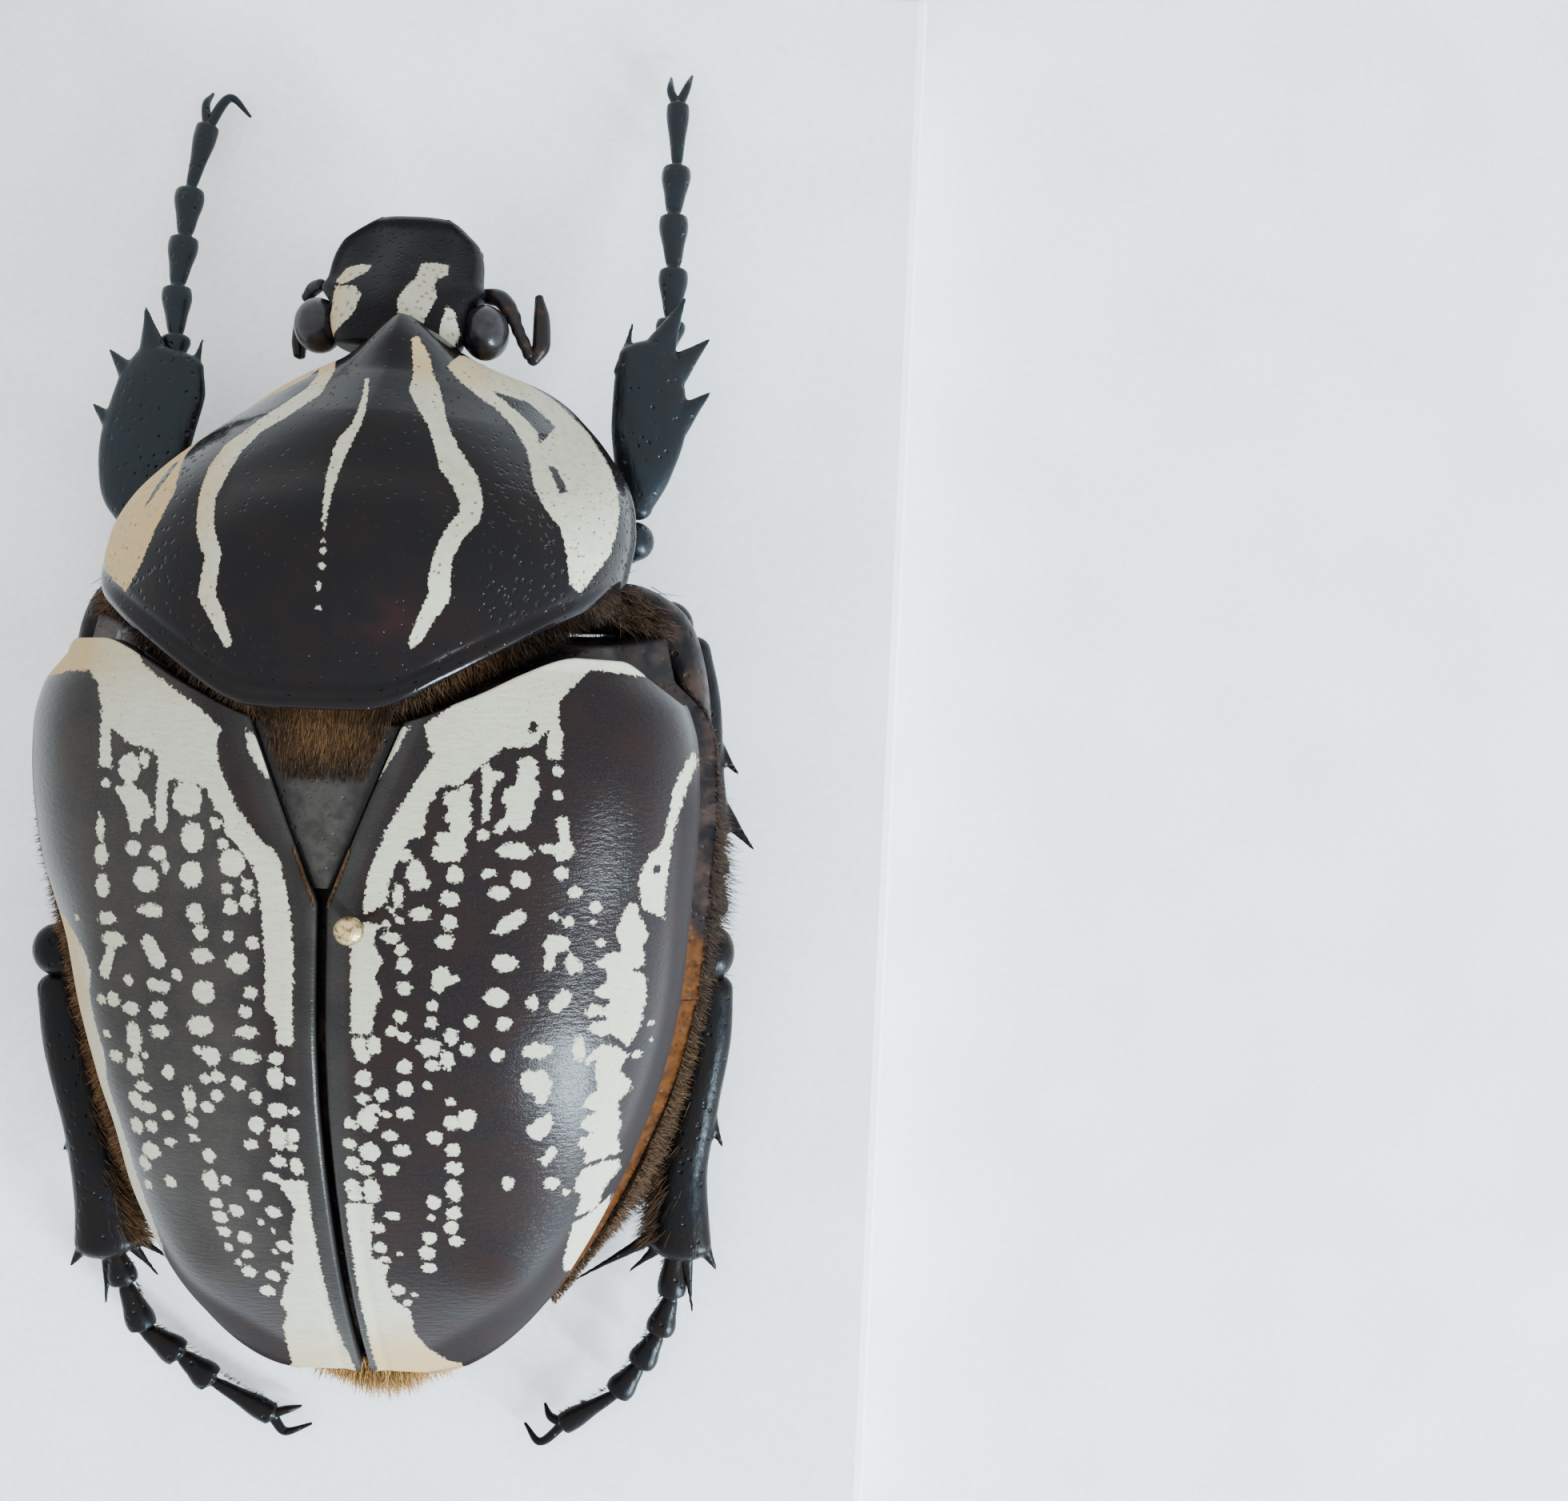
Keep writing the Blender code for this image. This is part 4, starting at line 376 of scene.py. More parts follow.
HIND_RIGHT = {
    "femur": ((2.2, -9.3, 1.25, 1.6, 0.7), (5.4, -9.5, 1.7, 1.7, 0.9), (6.9, -9.7, 2.2, 1.3, 0.9),
              (10.6, -10.4, 3.2, 2.2, 1.4), (15.0, -10.8, 4.9, 2.3, 1.5), (19.2, -11.0, 6.5, 1.7, 1.4)),
    "tibia": ((19.5, -13.2, 6.2, 1.1, 0.95), (19.3, -16.0, 5.8, 1.3, 1.05), (18.6, -20.6, 5.1, 1.35, 1.1),
              (18.0, -25.2, 4.5, 1.45, 1.1), (18.0, -29.2, 4.1, 1.85, 1.1)),
    "teeth": (((19.0, -20.4, 5.0), (20.3, -23.0, 4.8), 0.8), ((18.6, -28.2, 4.2), (20.2, -30.8, 3.8), 1.0),
              ((18.2, -29.4, 3.8), (18.8, -33.6, 3.3), 0.55),
              ((17.0, -28.4, 4.1), (11.5, -31.9, 3.4), 0.55),
              ((17.0, -29.2, 3.8), (14.8, -31.3, 3.2), 0.55)),
    "foot": ((17.6, -29.4, 3.8), (17.45, -32.8, 3.1), (16.7, -35.3, 2.5), (15.55, -37.5, 2.0),
             (14.15, -39.5, 1.6), (10.7, -41.8, 1.2)),
    "claws": (((9.4, -42.9, 1.1), (8.4, -42.0, 0.6)), ((10.0, -41.3, 1.0), (9.6, -40.7, 0.6))),
}
HIND_LEFT = {
    "femur": ((-2.2, -9.3, 1.25, 1.6, 0.7), (-5.4, -9.6, 1.7, 1.7, 0.9), (-6.9, -9.9, 2.2, 1.3, 0.9),
              (-10.6, -10.7, 3.1, 2.2, 1.4), (-15.0, -11.6, 4.8, 2.2, 1.5), (-20.2, -12.5, 6.5, 1.6, 1.4)),
    "tibia": ((-20.15, -14.8, 6.2, 1.25, 0.95), (-19.5, -18.6, 5.7, 1.5, 1.05),
              (-18.4, -23.6, 5.0, 1.45, 1.1), (-17.7, -28.0, 4.4, 1.6, 1.1), (-17.4, -30.6, 4.1, 1.9, 1.1)),
    "teeth": (((-18.6, -22.4, 5.1), (-19.9, -24.9, 4.9), 0.8),
              ((-18.0, -29.8, 4.2), (-19.6, -32.3, 3.8), 1.0),
              ((-17.3, -30.8, 3.8), (-17.5, -34.6, 3.4), 0.6),
              ((-16.4, -29.8, 4.1), (-13.3, -31.9, 3.4), 0.5),
              ((-16.3, -30.4, 3.8), (-14.4, -32.8, 3.2), 0.5)),
    "foot": ((-16.9, -31.0, 4.0), (-16.4, -33.4, 3.3), (-15.3, -36.4, 2.6), (-13.1, -38.1, 2.1),
             (-11.2, -39.8, 1.6), (-7.3, -42.0, 1.2)),
    "claws": (((-6.6, -43.0, 1.0), (-5.2, -42.6, 0.6)), ((-6.6, -41.6, 1.0), (-5.9, -41.5, 0.6))),
}
ANTENNA_RIGHT = (
    (4.3, 27.3, 9.0, 0.4, 0.4), (5.4, 27.1, 9.6, 0.5, 0.5), (6.2, 26.3, 9.9, 0.48, 0.48),
    (6.7, 25.2, 9.9, 0.36, 0.36), (7.35, 23.9, 9.6, 0.36, 0.36),
)
CLUB_RIGHT = (
    (7.6, 23.6, 9.5, 0.42, 0.4), (8.0, 24.5, 9.4, 0.62, 0.6), (7.95, 25.9, 9.3, 0.56, 0.6),
    (7.75, 27.3, 9.3, 0.2, 0.3),
)
ANTENNA_LEFT = ((5.2, 27.6, 8.9, 0.34, 0.34), (5.7, 27.5, 8.4, 0.4, 0.4), (6.3, 27.1, 7.8, 0.3, 0.3))
CLUB_LEFT = (
    (6.4, 26.3, 7.9, 0.2, 0.3), (6.45, 25.4, 8.2, 0.38, 0.55), (6.45, 24.3, 8.4, 0.42, 0.6),
    (6.4, 23.5, 8.5, 0.3, 0.4),
)
CLAW_RADII = (0.34, 0.26, 0.1)
CHIN = ((0.0, 25.6, 5.1, 1.9, 0.55), (0.0, 28.0, 5.3, 2.6, 0.7), (0.0, 30.2, 5.7, 2.0, 0.55))
PALP = ((2.0, 28.2, 5.2, 0.3, 0.3), (3.1, 29.4, 5.0, 0.36, 0.36), (3.2, 30.6, 5.2, 0.42, 0.42))
SHOULDER_PLATE = (
    (11.0, 8.8, 11.8, 1.3, 1.2), (13.6, 9.1, 11.2, 1.5, 1.5), (15.7, 8.2, 10.4, 1.5, 1.8),
    (17.1, 6.0, 9.6, 1.15, 2.0), (17.8, 3.0, 9.0, 0.9, 2.0), (18.15, 0.4, 8.7, 0.6, 1.7),
    (18.2, -1.6, 8.5, 0.35, 1.1),
)
# Beads of a foot: (share of the bead's length, radius)
BEAD = ((0.02, 0.42), (0.1, 0.5), (0.4, 0.68), (0.78, 0.92), (0.93, 0.86), (0.985, 0.45))
LAST_BEAD = ((0.02, 0.32), (0.12, 0.38), (0.4, 0.5), (0.8, 0.72), (0.93, 0.7), (0.985, 0.4))
DOME_TURNS = (15, 30, 45, 60, 74, 84)

# How finely each piece is divided: rings and points round a ring, or rows and columns
WING_GRID = (288, 168)
SHIELD_GRID = (190, 380)
HEAD_GRID = (130, 200)
EYE_GRID = (40, 64)
LIMB_GRID = (60, 28)
THORAX_RINGS = 90
ABDOMEN_RINGS = 150
BODY_SIDES = 160
THIGH_GRAIN = 0.16
SHIN_GRAIN = 0.12

# Numbers of hairs, and for the legs (part, number, length, how golden)
COLLAR_HAIRS = 9000
SCUTELLUM_HAIRS = 3600
SHOULDER_HAIRS = 1500
FLANK_HAIRS = 19000
TAIL_HAIRS = 6000
LEG_HAIRS = (("femur", 500, 1.0, 0.08), ("tibia", 3600, 1.9, 0.1), ("foot", 200, 0.4, 0.0))
GOLDEN_SHINS = {"hind_right": 0.5, "hind_left": 1.0}
UNWRAP_PATCH = 0.0014

# Colours under the settings, and how far into a marking or out of it the distance is told
SOOTY_HAIR = (0.012, 0.007, 0.0045)
# Grey laid over the seam, the scutellum and the left wing case: partly dust, partly a painted sheen
DUST_AND_SHEEN = (0.036, 0.033, 0.029)
# Brown laid in the pits of the cream markings: a painted shade in the pits
PIT_SHADE = (0.12, 0.09, 0.06)
DEEPEST = 3.0
UNMARKED = -DEEPEST

# Room and light, in metres and watts
ROOM_COLOUR = (0.93, 0.97, 1.0, 1.0)
ROOM_STRENGTH = 1.95
WINDOW_PLACE = (0.29, -0.27, 0.13)
WINDOW_TARGET = (0.005, -0.01, 0.02)
WINDOW_SIZE = (0.06, 0.2)
WINDOW_POWER = 6.5
WINDOW_COLOUR = (0.72, 0.88, 1.0)
FLOOR_REACH = 1.5
FLOOR_DROP = 0.0001

# Camera: lens and view in mm, shift in pixels of the photograph, place in metres and turn in degrees
SENSOR_WIDTH = 36.0
CAMERA_RISE = 118.0
VIEW_WIDTH = 99.96
PHOTO_WIDTH = 1960.0
VIEW_SHIFT = -40.0
CAMERA_PLACE = (0.02495, 0.00145, 0.126)
CAMERA_TURN = 2.5


# Settings


def colour_setting(name, description, default):
    return FloatVectorProperty(
        name=name, description=description, default=default, size=3, min=0.0, max=1.0, subtype="COLOR"
    )


def length_setting(name, description, default):
    return FloatProperty(
        name=name, description=description, default=default, min=0.0, subtype="DISTANCE", unit="LENGTH"
    )


class BeetleFinishes(bpy.types.PropertyGroup):
    black: colour_setting("Black chitin", "Colour of the shield, head and legs", (0.0045, 0.004, 0.0048))
    satin: colour_setting("Satin black", "Ground colour of the wing cases", (0.0062, 0.0046, 0.005))
    cream: colour_setting("Cream", "Cool chalk of the markings", (0.44, 0.43, 0.325))
    warm_cream: colour_setting("Warm cream", "Yellowed chalk near the margins", (0.42, 0.29, 0.13))
    rust: colour_setting("Rust", "Edge of the abdomen", (0.08, 0.027, 0.006))
    hair: colour_setting("Hair", "Short brown hair between the plates", (0.1, 0.052, 0.021))
    fringe: colour_setting("Fringe", "Golden hair at the tail", (0.36, 0.2, 0.065))
    brass: colour_setting("Brass", "Head of the pin", (0.62, 0.45, 0.22))
    ground: colour_setting("Ground", "Foam board and floor", (0.96, 0.98, 0.99))
    puncture: length_setting("Puncture spacing", "Distance between the pits of the shield", 0.00054)
    hair_length: length_setting("Hair length", "Length of the hair between the plates", 0.0016)
    hair_radius: length_setting("Hair radius", "Radius of a hair at its root", 0.00003)
    seed: IntProperty(name="Seed", description="Start of every random draw", default=7, min=0)


def finishes():
    return bpy.context.scene.beetle_finishes


# Curves and surfaces shared with the solids


def curve_through(stations):
    """A smooth function through (place, value) stations that never overshoots a value."""
    xs = np.array([s[0] for s in stations], float)
    ys = np.array([s[1] for s in stations], float)
    step = np.diff(xs)
    rate = np.diff(ys) / step
    slope = np.zeros(len(xs))
    slope[0], slope[-1] = rate[0], rate[-1]
    for i in range(1, len(xs) - 1):
        if rate[i - 1] * rate[i] > 0:
            w1 = 2 * step[i] + step[i - 1]
            w2 = step[i] + 2 * step[i - 1]
            slope[i] = (w1 + w2) / (w1 / rate[i - 1] + w2 / rate[i])

    def value(at):
        at = np.clip(at, xs[0], xs[-1])
        i = np.clip(np.searchsorted(xs, at, side="right") - 1, 0, len(xs) - 2)
        t = (at - xs[i]) / step[i]
        rise = ys[i + 1] - ys[i]
        bend_in = step[i] * slope[i]
        bend_out = step[i] * slope[i + 1]
        cubic = bend_in + bend_out - 2 * rise
        square = 3 * rise - 2 * bend_in - bend_out
        return ys[i] + t * (bend_in + t * (square + t * cubic))

    return value


elytra_outline = curve_through(ELYTRA_OUTLINE)
elytra_ridge = curve_through(ELYTRA_RIDGE)
elytra_margin = curve_through(ELYTRA_MARGIN)
elytra_front_edge = curve_through(ELYTRA_FRONT_EDGE)
left_tuck = curve_through(LEFT_TUCK)
pronotum_outline = curve_through(PRONOTUM_OUTLINE)
pronotum_crest = curve_through(PRONOTUM_CREST)
pronotum_margin = curve_through(PRONOTUM_MARGIN)
pronotum_roundness = curve_through(PRONOTUM_ROUNDNESS)
pronotum_lobe = curve_through(PRONOTUM_LOBE)
abdomen_taper = curve_through(ABDOMEN_TAPER)
abdomen_rise = curve_through(ABDOMEN_RISE)


def along(y):
    return (ELYTRA_BASE_Y - y) / ELYTRA_LENGTH


def half_width(y):
    return ELYTRA_HALF_WIDTH * elytra_outline(along(y))


def ridge_height(y):
    return APEX_HEIGHT + (BODY_TOP - APEX_HEIGHT) * elytra_ridge(along(y))


def margin_height(y):
    return APEX_HEIGHT + (MARGIN_BASE_HEIGHT - APEX_HEIGHT) * elytra_margin(along(y))


def power(value, exponent):
    return np.sign(value) * np.abs(value) ** exponent


def bell(value, centre, width):
    return np.exp(-(((value - centre) / width) ** 2))


def rows_of(x, y, h):
    """Rows of (x, y, h) from three columns."""
    return np.stack([x, y, h], axis=1)


def boss(x, y, place):
    return place[3] * np.exp(-((x - place[0]) ** 2 + (y - place[1]) ** 2) / place[2] ** 2)


def wing_height(x, y):
    """Height of the wing cases' outer face over the point (x, y) of the plan."""
    share = np.clip(np.abs(x) / half_width(y), 0, 1)
    low = margin_height(y)
    h = low + (ridge_height(y) - low) * (1 - share**ELYTRA_ROUNDNESS) ** (1 / ELYTRA_ROUNDNESS)
    return h + boss(np.abs(x), y, SHOULDER_BOSS) + boss(np.abs(x), y, APICAL_BOSS)


def scutellum_half_width(y):
    return np.maximum(0.0, SCUTELLUM_SPREAD * (y - SCUTELLUM_TIP_Y))


def smooth_step(value, low, high):
    t = np.clip((value - low) / (high - low), 0, 1)
    return t * t * (3 - 2 * t)


# Marking fields


def outline_distance(x, y, outline):
    """Signed distance to a closed outline, positive inside."""
    corners = np.array(outline, float)
    inside = np.zeros(x.shape, bool)
    nearest = np.full(x.shape, 1e9)
    for a, b in zip(corners, np.roll(corners, -1, axis=0)):
        edge = b - a
        share = np.clip(((x - a[0]) * edge[0] + (y - a[1]) * edge[1]) / (edge @ edge), 0, 1)
        nearest = np.minimum(nearest, np.hypot(x - a[0] - share * edge[0], y - a[1] - share * edge[1]))
        crosses = (a[1] > y) != (b[1] > y)
        with np.errstate(divide="ignore", invalid="ignore"):
            at = a[0] + (y - a[1]) * edge[0] / edge[1] if edge[1] else np.full(x.shape, np.inf)
        inside ^= crosses & (x < at)
    return np.where(inside, nearest, -nearest)


def trail_distance(x, y, trail):
    """Signed distance to a run of round stations that widens and narrows."""
    best = np.full(x.shape, -1e9)
    for a, b in zip(trail[:-1], trail[1:]):
        edge = np.array([b[0] - a[0], b[1] - a[1]])
        share = np.clip(((x - a[0]) * edge[0] + (y - a[1]) * edge[1]) / (edge @ edge), 0, 1)
        radius = a[2] + (b[2] - a[2]) * share
        best = np.maximum(best, radius - np.hypot(x - a[0] - share * edge[0], y - a[1] - share * edge[1]))
    return best


def spot_distance(x, y, spot):
    """Signed distance to a round or oval spot, positive inside."""
    half_x, half_y = spot[2], spot[-1]
    return min(half_x, half_y) * (1 - np.hypot((x - spot[0]) / half_x, (y - spot[1]) / half_y))


def marking(x, y, fields=(), trails=(), spots=(), holes=(), streaks=()):
    """Distance in mm into the cream markings, negative in the black between them."""
    best = np.full(x.shape, UNMARKED)
    for distance, shapes in ((outline_distance, fields), (trail_distance, trails), (spot_distance, spots)):
        for shape in shapes:
            best = np.maximum(best, distance(x, y, shape))
    for distance, shapes in ((spot_distance, holes), (outline_distance, streaks)):
        for shape in shapes:
            best = np.minimum(best, -distance(x, y, shape))
    return np.clip(best, -DEEPEST, DEEPEST)


# Meshes


def new_mesh(name, points, faces):
    """A mesh from points in millimetres over the board's top."""
    placed = (np.asarray(points, float) + (0.0, 0.0, BOARD_TOP)) * MM
    mesh = bpy.data.meshes.new(name)
    mesh.from_pydata(placed.tolist(), [], faces if isinstance(faces, list) else faces.tolist())
    mesh.update()
    mesh.shade_smooth()
    return mesh


def add_piece(name, mesh, finish, nodes=()):
    """Links a piece, gives it its finish, and lets it ride on the beetle in place of its solids."""
    obj = bpy.data.objects.new(name, mesh)
    bpy.context.scene.collection.objects.link(obj)
    mesh.materials.clear()
    mesh.materials.append(finish)
    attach(obj, "root")
    if nodes:
        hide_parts(*nodes)
    return obj


def set_values(mesh, **fields):
    for name, values in fields.items():
        layer = mesh.attributes.new(name, "FLOAT", "POINT")
        layer.data.foreach_set("value", np.asarray(values, np.float32).ravel())


def grid_faces(rows, columns, start=0, flip=False):
    a = (np.arange(rows - 1)[:, None] * columns + np.arange(columns - 1)[None, :]).ravel() + start
    quads = np.stack([a, a + columns, a + columns + 1, a + 1], axis=1)
    return quads[:, ::-1] if flip else quads


def grid_normals(grid):
    across = np.gradient(grid, axis=1)
    lengthwise = np.gradient(grid, axis=0)
    normal = np.cross(lengthwise, across)
    return normal / np.maximum(np.linalg.norm(normal, axis=2, keepdims=True), 1e-9)


def rim_faces(rows, columns, offset, flip):
    """Faces that join the borders of two equal grids, the second starting at offset."""
    top = np.arange(columns)
    right = np.arange(1, rows) * columns + columns - 1
    bottom = (rows - 1) * columns + np.arange(columns - 2, -1, -1)
    left = np.arange(rows - 2, 0, -1) * columns
    ring = np.concatenate([top, right, bottom, left])
    after = np.roll(ring, -1)
    quads = np.stack([ring, after, after + offset, ring + offset], axis=1)
    return quads[:, ::-1] if flip else quads


def loft_faces(rings, sides):
    """Faces of a closed loft of rings, whose last two points close its ends."""
    r = np.arange(rings - 1)[:, None] * sides
    k = np.arange(sides)[None, :]
    n = (k + 1) % sides
    body = np.stack([r + k, r + n, r + sides + n, r + sides + k], axis=-1).reshape(-1, 4).tolist()
    last = (rings - 1) * sides
    tip = rings * sides
    body += [[(j + 1) % sides, j, tip] for j in range(sides)]
    body += [[last + j, last + (j + 1) % sides, tip + 1] for j in range(sides)]
    return body


def loft_points(rings, front=None, rear=None):
    rings = np.asarray(rings, float)
    front = rings[0].mean(axis=0) if front is None else np.asarray(front, float)
    rear = rings[-1].mean(axis=0) if rear is None else np.asarray(rear, float)
    return np.concatenate([rings.reshape(-1, 3), [front], [rear]])


def resample(keys, count):
    rows = np.array(keys, float)
    steps = np.linalg.norm(np.diff(rows[:, :3], axis=0), axis=1)
    at = np.concatenate([[0.0], np.cumsum(steps)])
    wanted = np.linspace(0.0, at[-1], count)
    return np.stack([curve_through(list(zip(at, rows[:, c])))(wanted) for c in range(rows.shape[1])], axis=1)


def limb_rings(keys, count, sides):
    """Rings of a limb through keys of (x, y, h, half width, half thickness), with egg-shaped ends."""
    rows = resample(keys, count)
    points = rows[:, :3]
    ahead = np.gradient(points, axis=0)
    ahead /= np.linalg.norm(ahead, axis=1, keepdims=True)
    across = np.cross(ahead, (0.0, 0.0, 1.0))
    across /= np.maximum(np.linalg.norm(across, axis=1, keepdims=True), 1e-6)
    upwards = np.cross(across, ahead)
    angle = 2 * math.pi * np.arange(sides) / sides
    rings = list(
        points[:, None]
        + across[:, None] * (rows[:, 3, None] * np.cos(angle))[..., None]
        + upwards[:, None] * (rows[:, 4, None] * np.sin(angle))[..., None]
    )
    for order, inner in ((0, 1), (-1, -2)):
        outward = points[order] - points[inner]
        outward /= np.linalg.norm(outward)
        reach = min(rows[order, 3], rows[order, 4])
        base, centre = rings[order], points[order]
        for turn in np.radians(DOME_TURNS):
            ring = centre + (base - centre) * math.cos(turn) + outward * reach * math.sin(turn)
            if order == 0:
                rings.insert(0, ring)
            else:
                rings.append(ring)
    return rings


def limb_mesh(name, keys, count, sides):
    rings = limb_rings(keys, count, sides)
    return new_mesh(name, loft_points(rings), loft_faces(len(rings), sides))


def joined(name, meshes):
    """One mesh out of several, emptying them."""
    points, faces, start = [], [], 0
    for mesh in meshes:
        block = np.empty(len(mesh.vertices) * 3)
        mesh.vertices.foreach_get("co", block)
        points.append(block.reshape(-1, 3))
        faces += [[start + v for v in face.vertices] for face in mesh.polygons]
        start += len(mesh.vertices)
        bpy.data.meshes.remove(mesh)
    made = bpy.data.meshes.new(name)
    made.from_pydata(np.concatenate(points).tolist(), [], faces)
    made.update()
    made.shade_smooth()
    return made


def fused(mesh, grain, rounds=4):
    """The mesh's closed surfaces melted into one skin, evened over a few rounds."""
    host = bpy.data.objects.new("fusing", mesh)
    bpy.context.scene.collection.objects.link(host)
    melt = host.modifiers.new("Melt", "REMESH")
    melt.mode = "VOXEL"
    melt.voxel_size = grain * MM
    even = host.modifiers.new("Even", "SMOOTH")
    even.factor = 0.5
    even.iterations = rounds
    graph = bpy.context.evaluated_depsgraph_get()
    graph.update()
    made = bpy.data.meshes.new_from_object(host.evaluated_get(graph), depsgraph=graph)
    made.name = mesh.name
    bpy.data.objects.remove(host)
    bpy.data.meshes.remove(mesh)
    made.shade_smooth()
    return made


# Shader building


class Wire:
    """A socket's value, with arithmetic that adds Math nodes."""

    def __init__(self, finish, socket):
        self.finish = finish
        self.socket = socket

    def other(self, output):
        """Another output of the node that this value comes from."""
        return Wire(self.finish, self.socket.node.outputs[output])

    def maths(self, operation, *values):
        return self.finish.node("ShaderNodeMath", {"operation": operation}, dict(enumerate(values)))

    def __add__(self, other):
        return self.maths("ADD", self, other)

    def __radd__(self, other):
        return self.maths("ADD", other, self)

    def __sub__(self, other):
        return self.maths("SUBTRACT", self, other)

    def __rsub__(self, other):
        return self.maths("SUBTRACT", other, self)

    def __mul__(self, other):
        return self.maths("MULTIPLY", self, other)

    def __rmul__(self, other):
        return self.maths("MULTIPLY", other, self)


class Finish:
    """One procedural material while it is put together."""

    def __init__(self, name):
        self.material = bpy.data.materials.new(name)
        self.material.use_nodes = True
        self.tree = self.material.node_tree
        self.shader = self.tree.nodes["Principled BSDF"]
        self.place = self.node("ShaderNodeTexCoord", output="Object")

    def node(self, kind, settings=None, inputs=None, output=0):
        """A node of that kind, its settings made first and then its sockets fed."""
        made = self.tree.nodes.new(kind)
        for key, value in (settings or {}).items():
            setattr(made, key, value)
        for key, value in (inputs or {}).items():
            self.feed(made.inputs[key], value)
        return Wire(self, made.outputs[output])

    def feed(self, socket, value):
        if isinstance(value, Wire):
            self.tree.links.new(value.socket, socket)
        elif socket.type == "RGBA":
            socket.default_value = (*value, 1.0)
        else:
            socket.default_value = value

    def attribute(self, name):
        return self.node("ShaderNodeAttribute", {"attribute_name": name}, output="Fac")

    def millimetres(self, stretch=(1.0, 1.0, 1.0)):
        """The object's own place in millimetres, stretched along its axes."""
        inputs = {0: self.place, 1: tuple(s / MM for s in stretch)}
        return self.node("ShaderNodeVectorMath", {"operation": "MULTIPLY"}, inputs)

    def noise(self, size, detail=3.0, roughness=0.55, stretch=(1.0, 1.0, 1.0)):
        """Noise with features of that size in millimetres."""
        inputs = {"Vector": self.millimetres(stretch), "Scale": 1.0 / size, "Detail": detail}
        return self.node("ShaderNodeTexNoise", None, {**inputs, "Roughness": roughness})

    def cells(self, size, randomness=1.0):
        """Distance to the nearest of scattered points, in cells of that size in millimetres."""
        inputs = {"Vector": self.millimetres(), "Scale": 1.0 / size, "Randomness": randomness}
        return self.node("ShaderNodeTexVoronoi", None, inputs, "Distance")

    def band(self, value, low, high, start=0.0, end=1.0):
        """Goes smoothly from start to end as the value goes from low to high."""
        return self.node(
            "ShaderNodeMapRange",
            {"interpolation_type": "SMOOTHSTEP"},
            {"Value": value, "From Min": low, "From Max": high, "To Min": start, "To Max": end},
        )

    def mix(self, share, a, b):
        return self.node("ShaderNodeMix", {"data_type": "RGBA"}, {0: share, 6: a, 7: b}, 2)

    def bump(self, height, depth, strength=1.0):
        """Bump whose height of 1 stands for that depth in millimetres."""
        inputs = {"Height": height, "Distance": depth * MM, "Strength": strength}
        return self.node("ShaderNodeBump", None, inputs, "Normal")

    def shade(self, **sockets):
        for key, value in sockets.items():
            self.feed(self.shader.inputs[key.replace("_", " ")], value)
        return self.material


def dimmed(colour, share):
    return tuple(c * share for c in colour)


def chalk_of(made, size, roughness, reach, blur):
    """1 on the cream markings and 0 off them, with an edge that frays over that reach in millimetres."""
    ragged = (made.noise(size, 3.0, roughness) - 0.5) * reach
    return made.band(made.attribute("mark") + ragged, -0.03, blur)


def warmth_of(made, cloud, reach):
    return made.band(made.attribute("warm") + (cloud - 0.5) * reach, 0.1, 0.9)


def pits(finish, size, width, clear=0.35):
    """Round pits scattered in cells of that size: 1 in a pit, 0 on the skin between."""
    spread = finish.cells(size)
    kept = finish.band(spread.other("Color"), clear - 0.03, clear + 0.03)
    return finish.band(spread, width, width * 0.35) * kept


def wing_finish():
    """Satin black with chalky cream markings, finely wrinkled across."""
    f = finishes()
    made = Finish("wing_case_satin")
    chalk = chalk_of(made, 0.25, 0.65, 0.6, 0.05)
    grain = made.noise(0.1, 2.0, 0.7)
    cloud = made.noise(2.4, 2.0)
    wrinkle = made.noise(0.34, 2.0, 0.6, (0.4, 1.8, 1.0))
    pore = pits(made, 0.42, 0.11, 0.45)
    rim = made.band(made.attribute("edge"), 0.95, 0.6)
    satin = made.mix(made.band(grain, 0.35, 0.75), f.satin, dimmed(f.satin, 2.2))
    satin = made.mix(made.band(cloud, 0.35, 0.65, 0.0, 0.7), satin, (0.0135, 0.007, 0.006))
    satin = made.mix(rim, satin, f.black)
    # Dust and a painted sheen: grey along the seam and over the left wing case
    satin = made.mix(made.attribute("dust") * made.band(grain + cloud, 0.6, 1.3, 0.45, 1.0), satin, DUST_AND_SHEEN)
    cream = made.mix(warmth_of(made, cloud, 0.5), f.cream, f.warm_cream)
    cream = made.mix(made.band(grain + wrinkle, 0.7, 1.5, 0.0, 0.55), cream, dimmed(f.cream, 0.55))
    # Painted shade in the pits of the cream
    cream = made.mix(pore * 0.75, cream, PIT_SHADE)
    relief = grain * 0.3 + wrinkle * 0.6 - pore * 0.8
    return made.shade(
        Base_Color=made.mix(chalk, satin, cream),
        Roughness=made.band(chalk + grain * 0.3 + made.attribute("dull"), 0.0, 1.1, 0.2, 0.75),
        Normal=made.bump(relief, 0.045, 0.9),
        Specular_IOR_Level=0.13,
    )


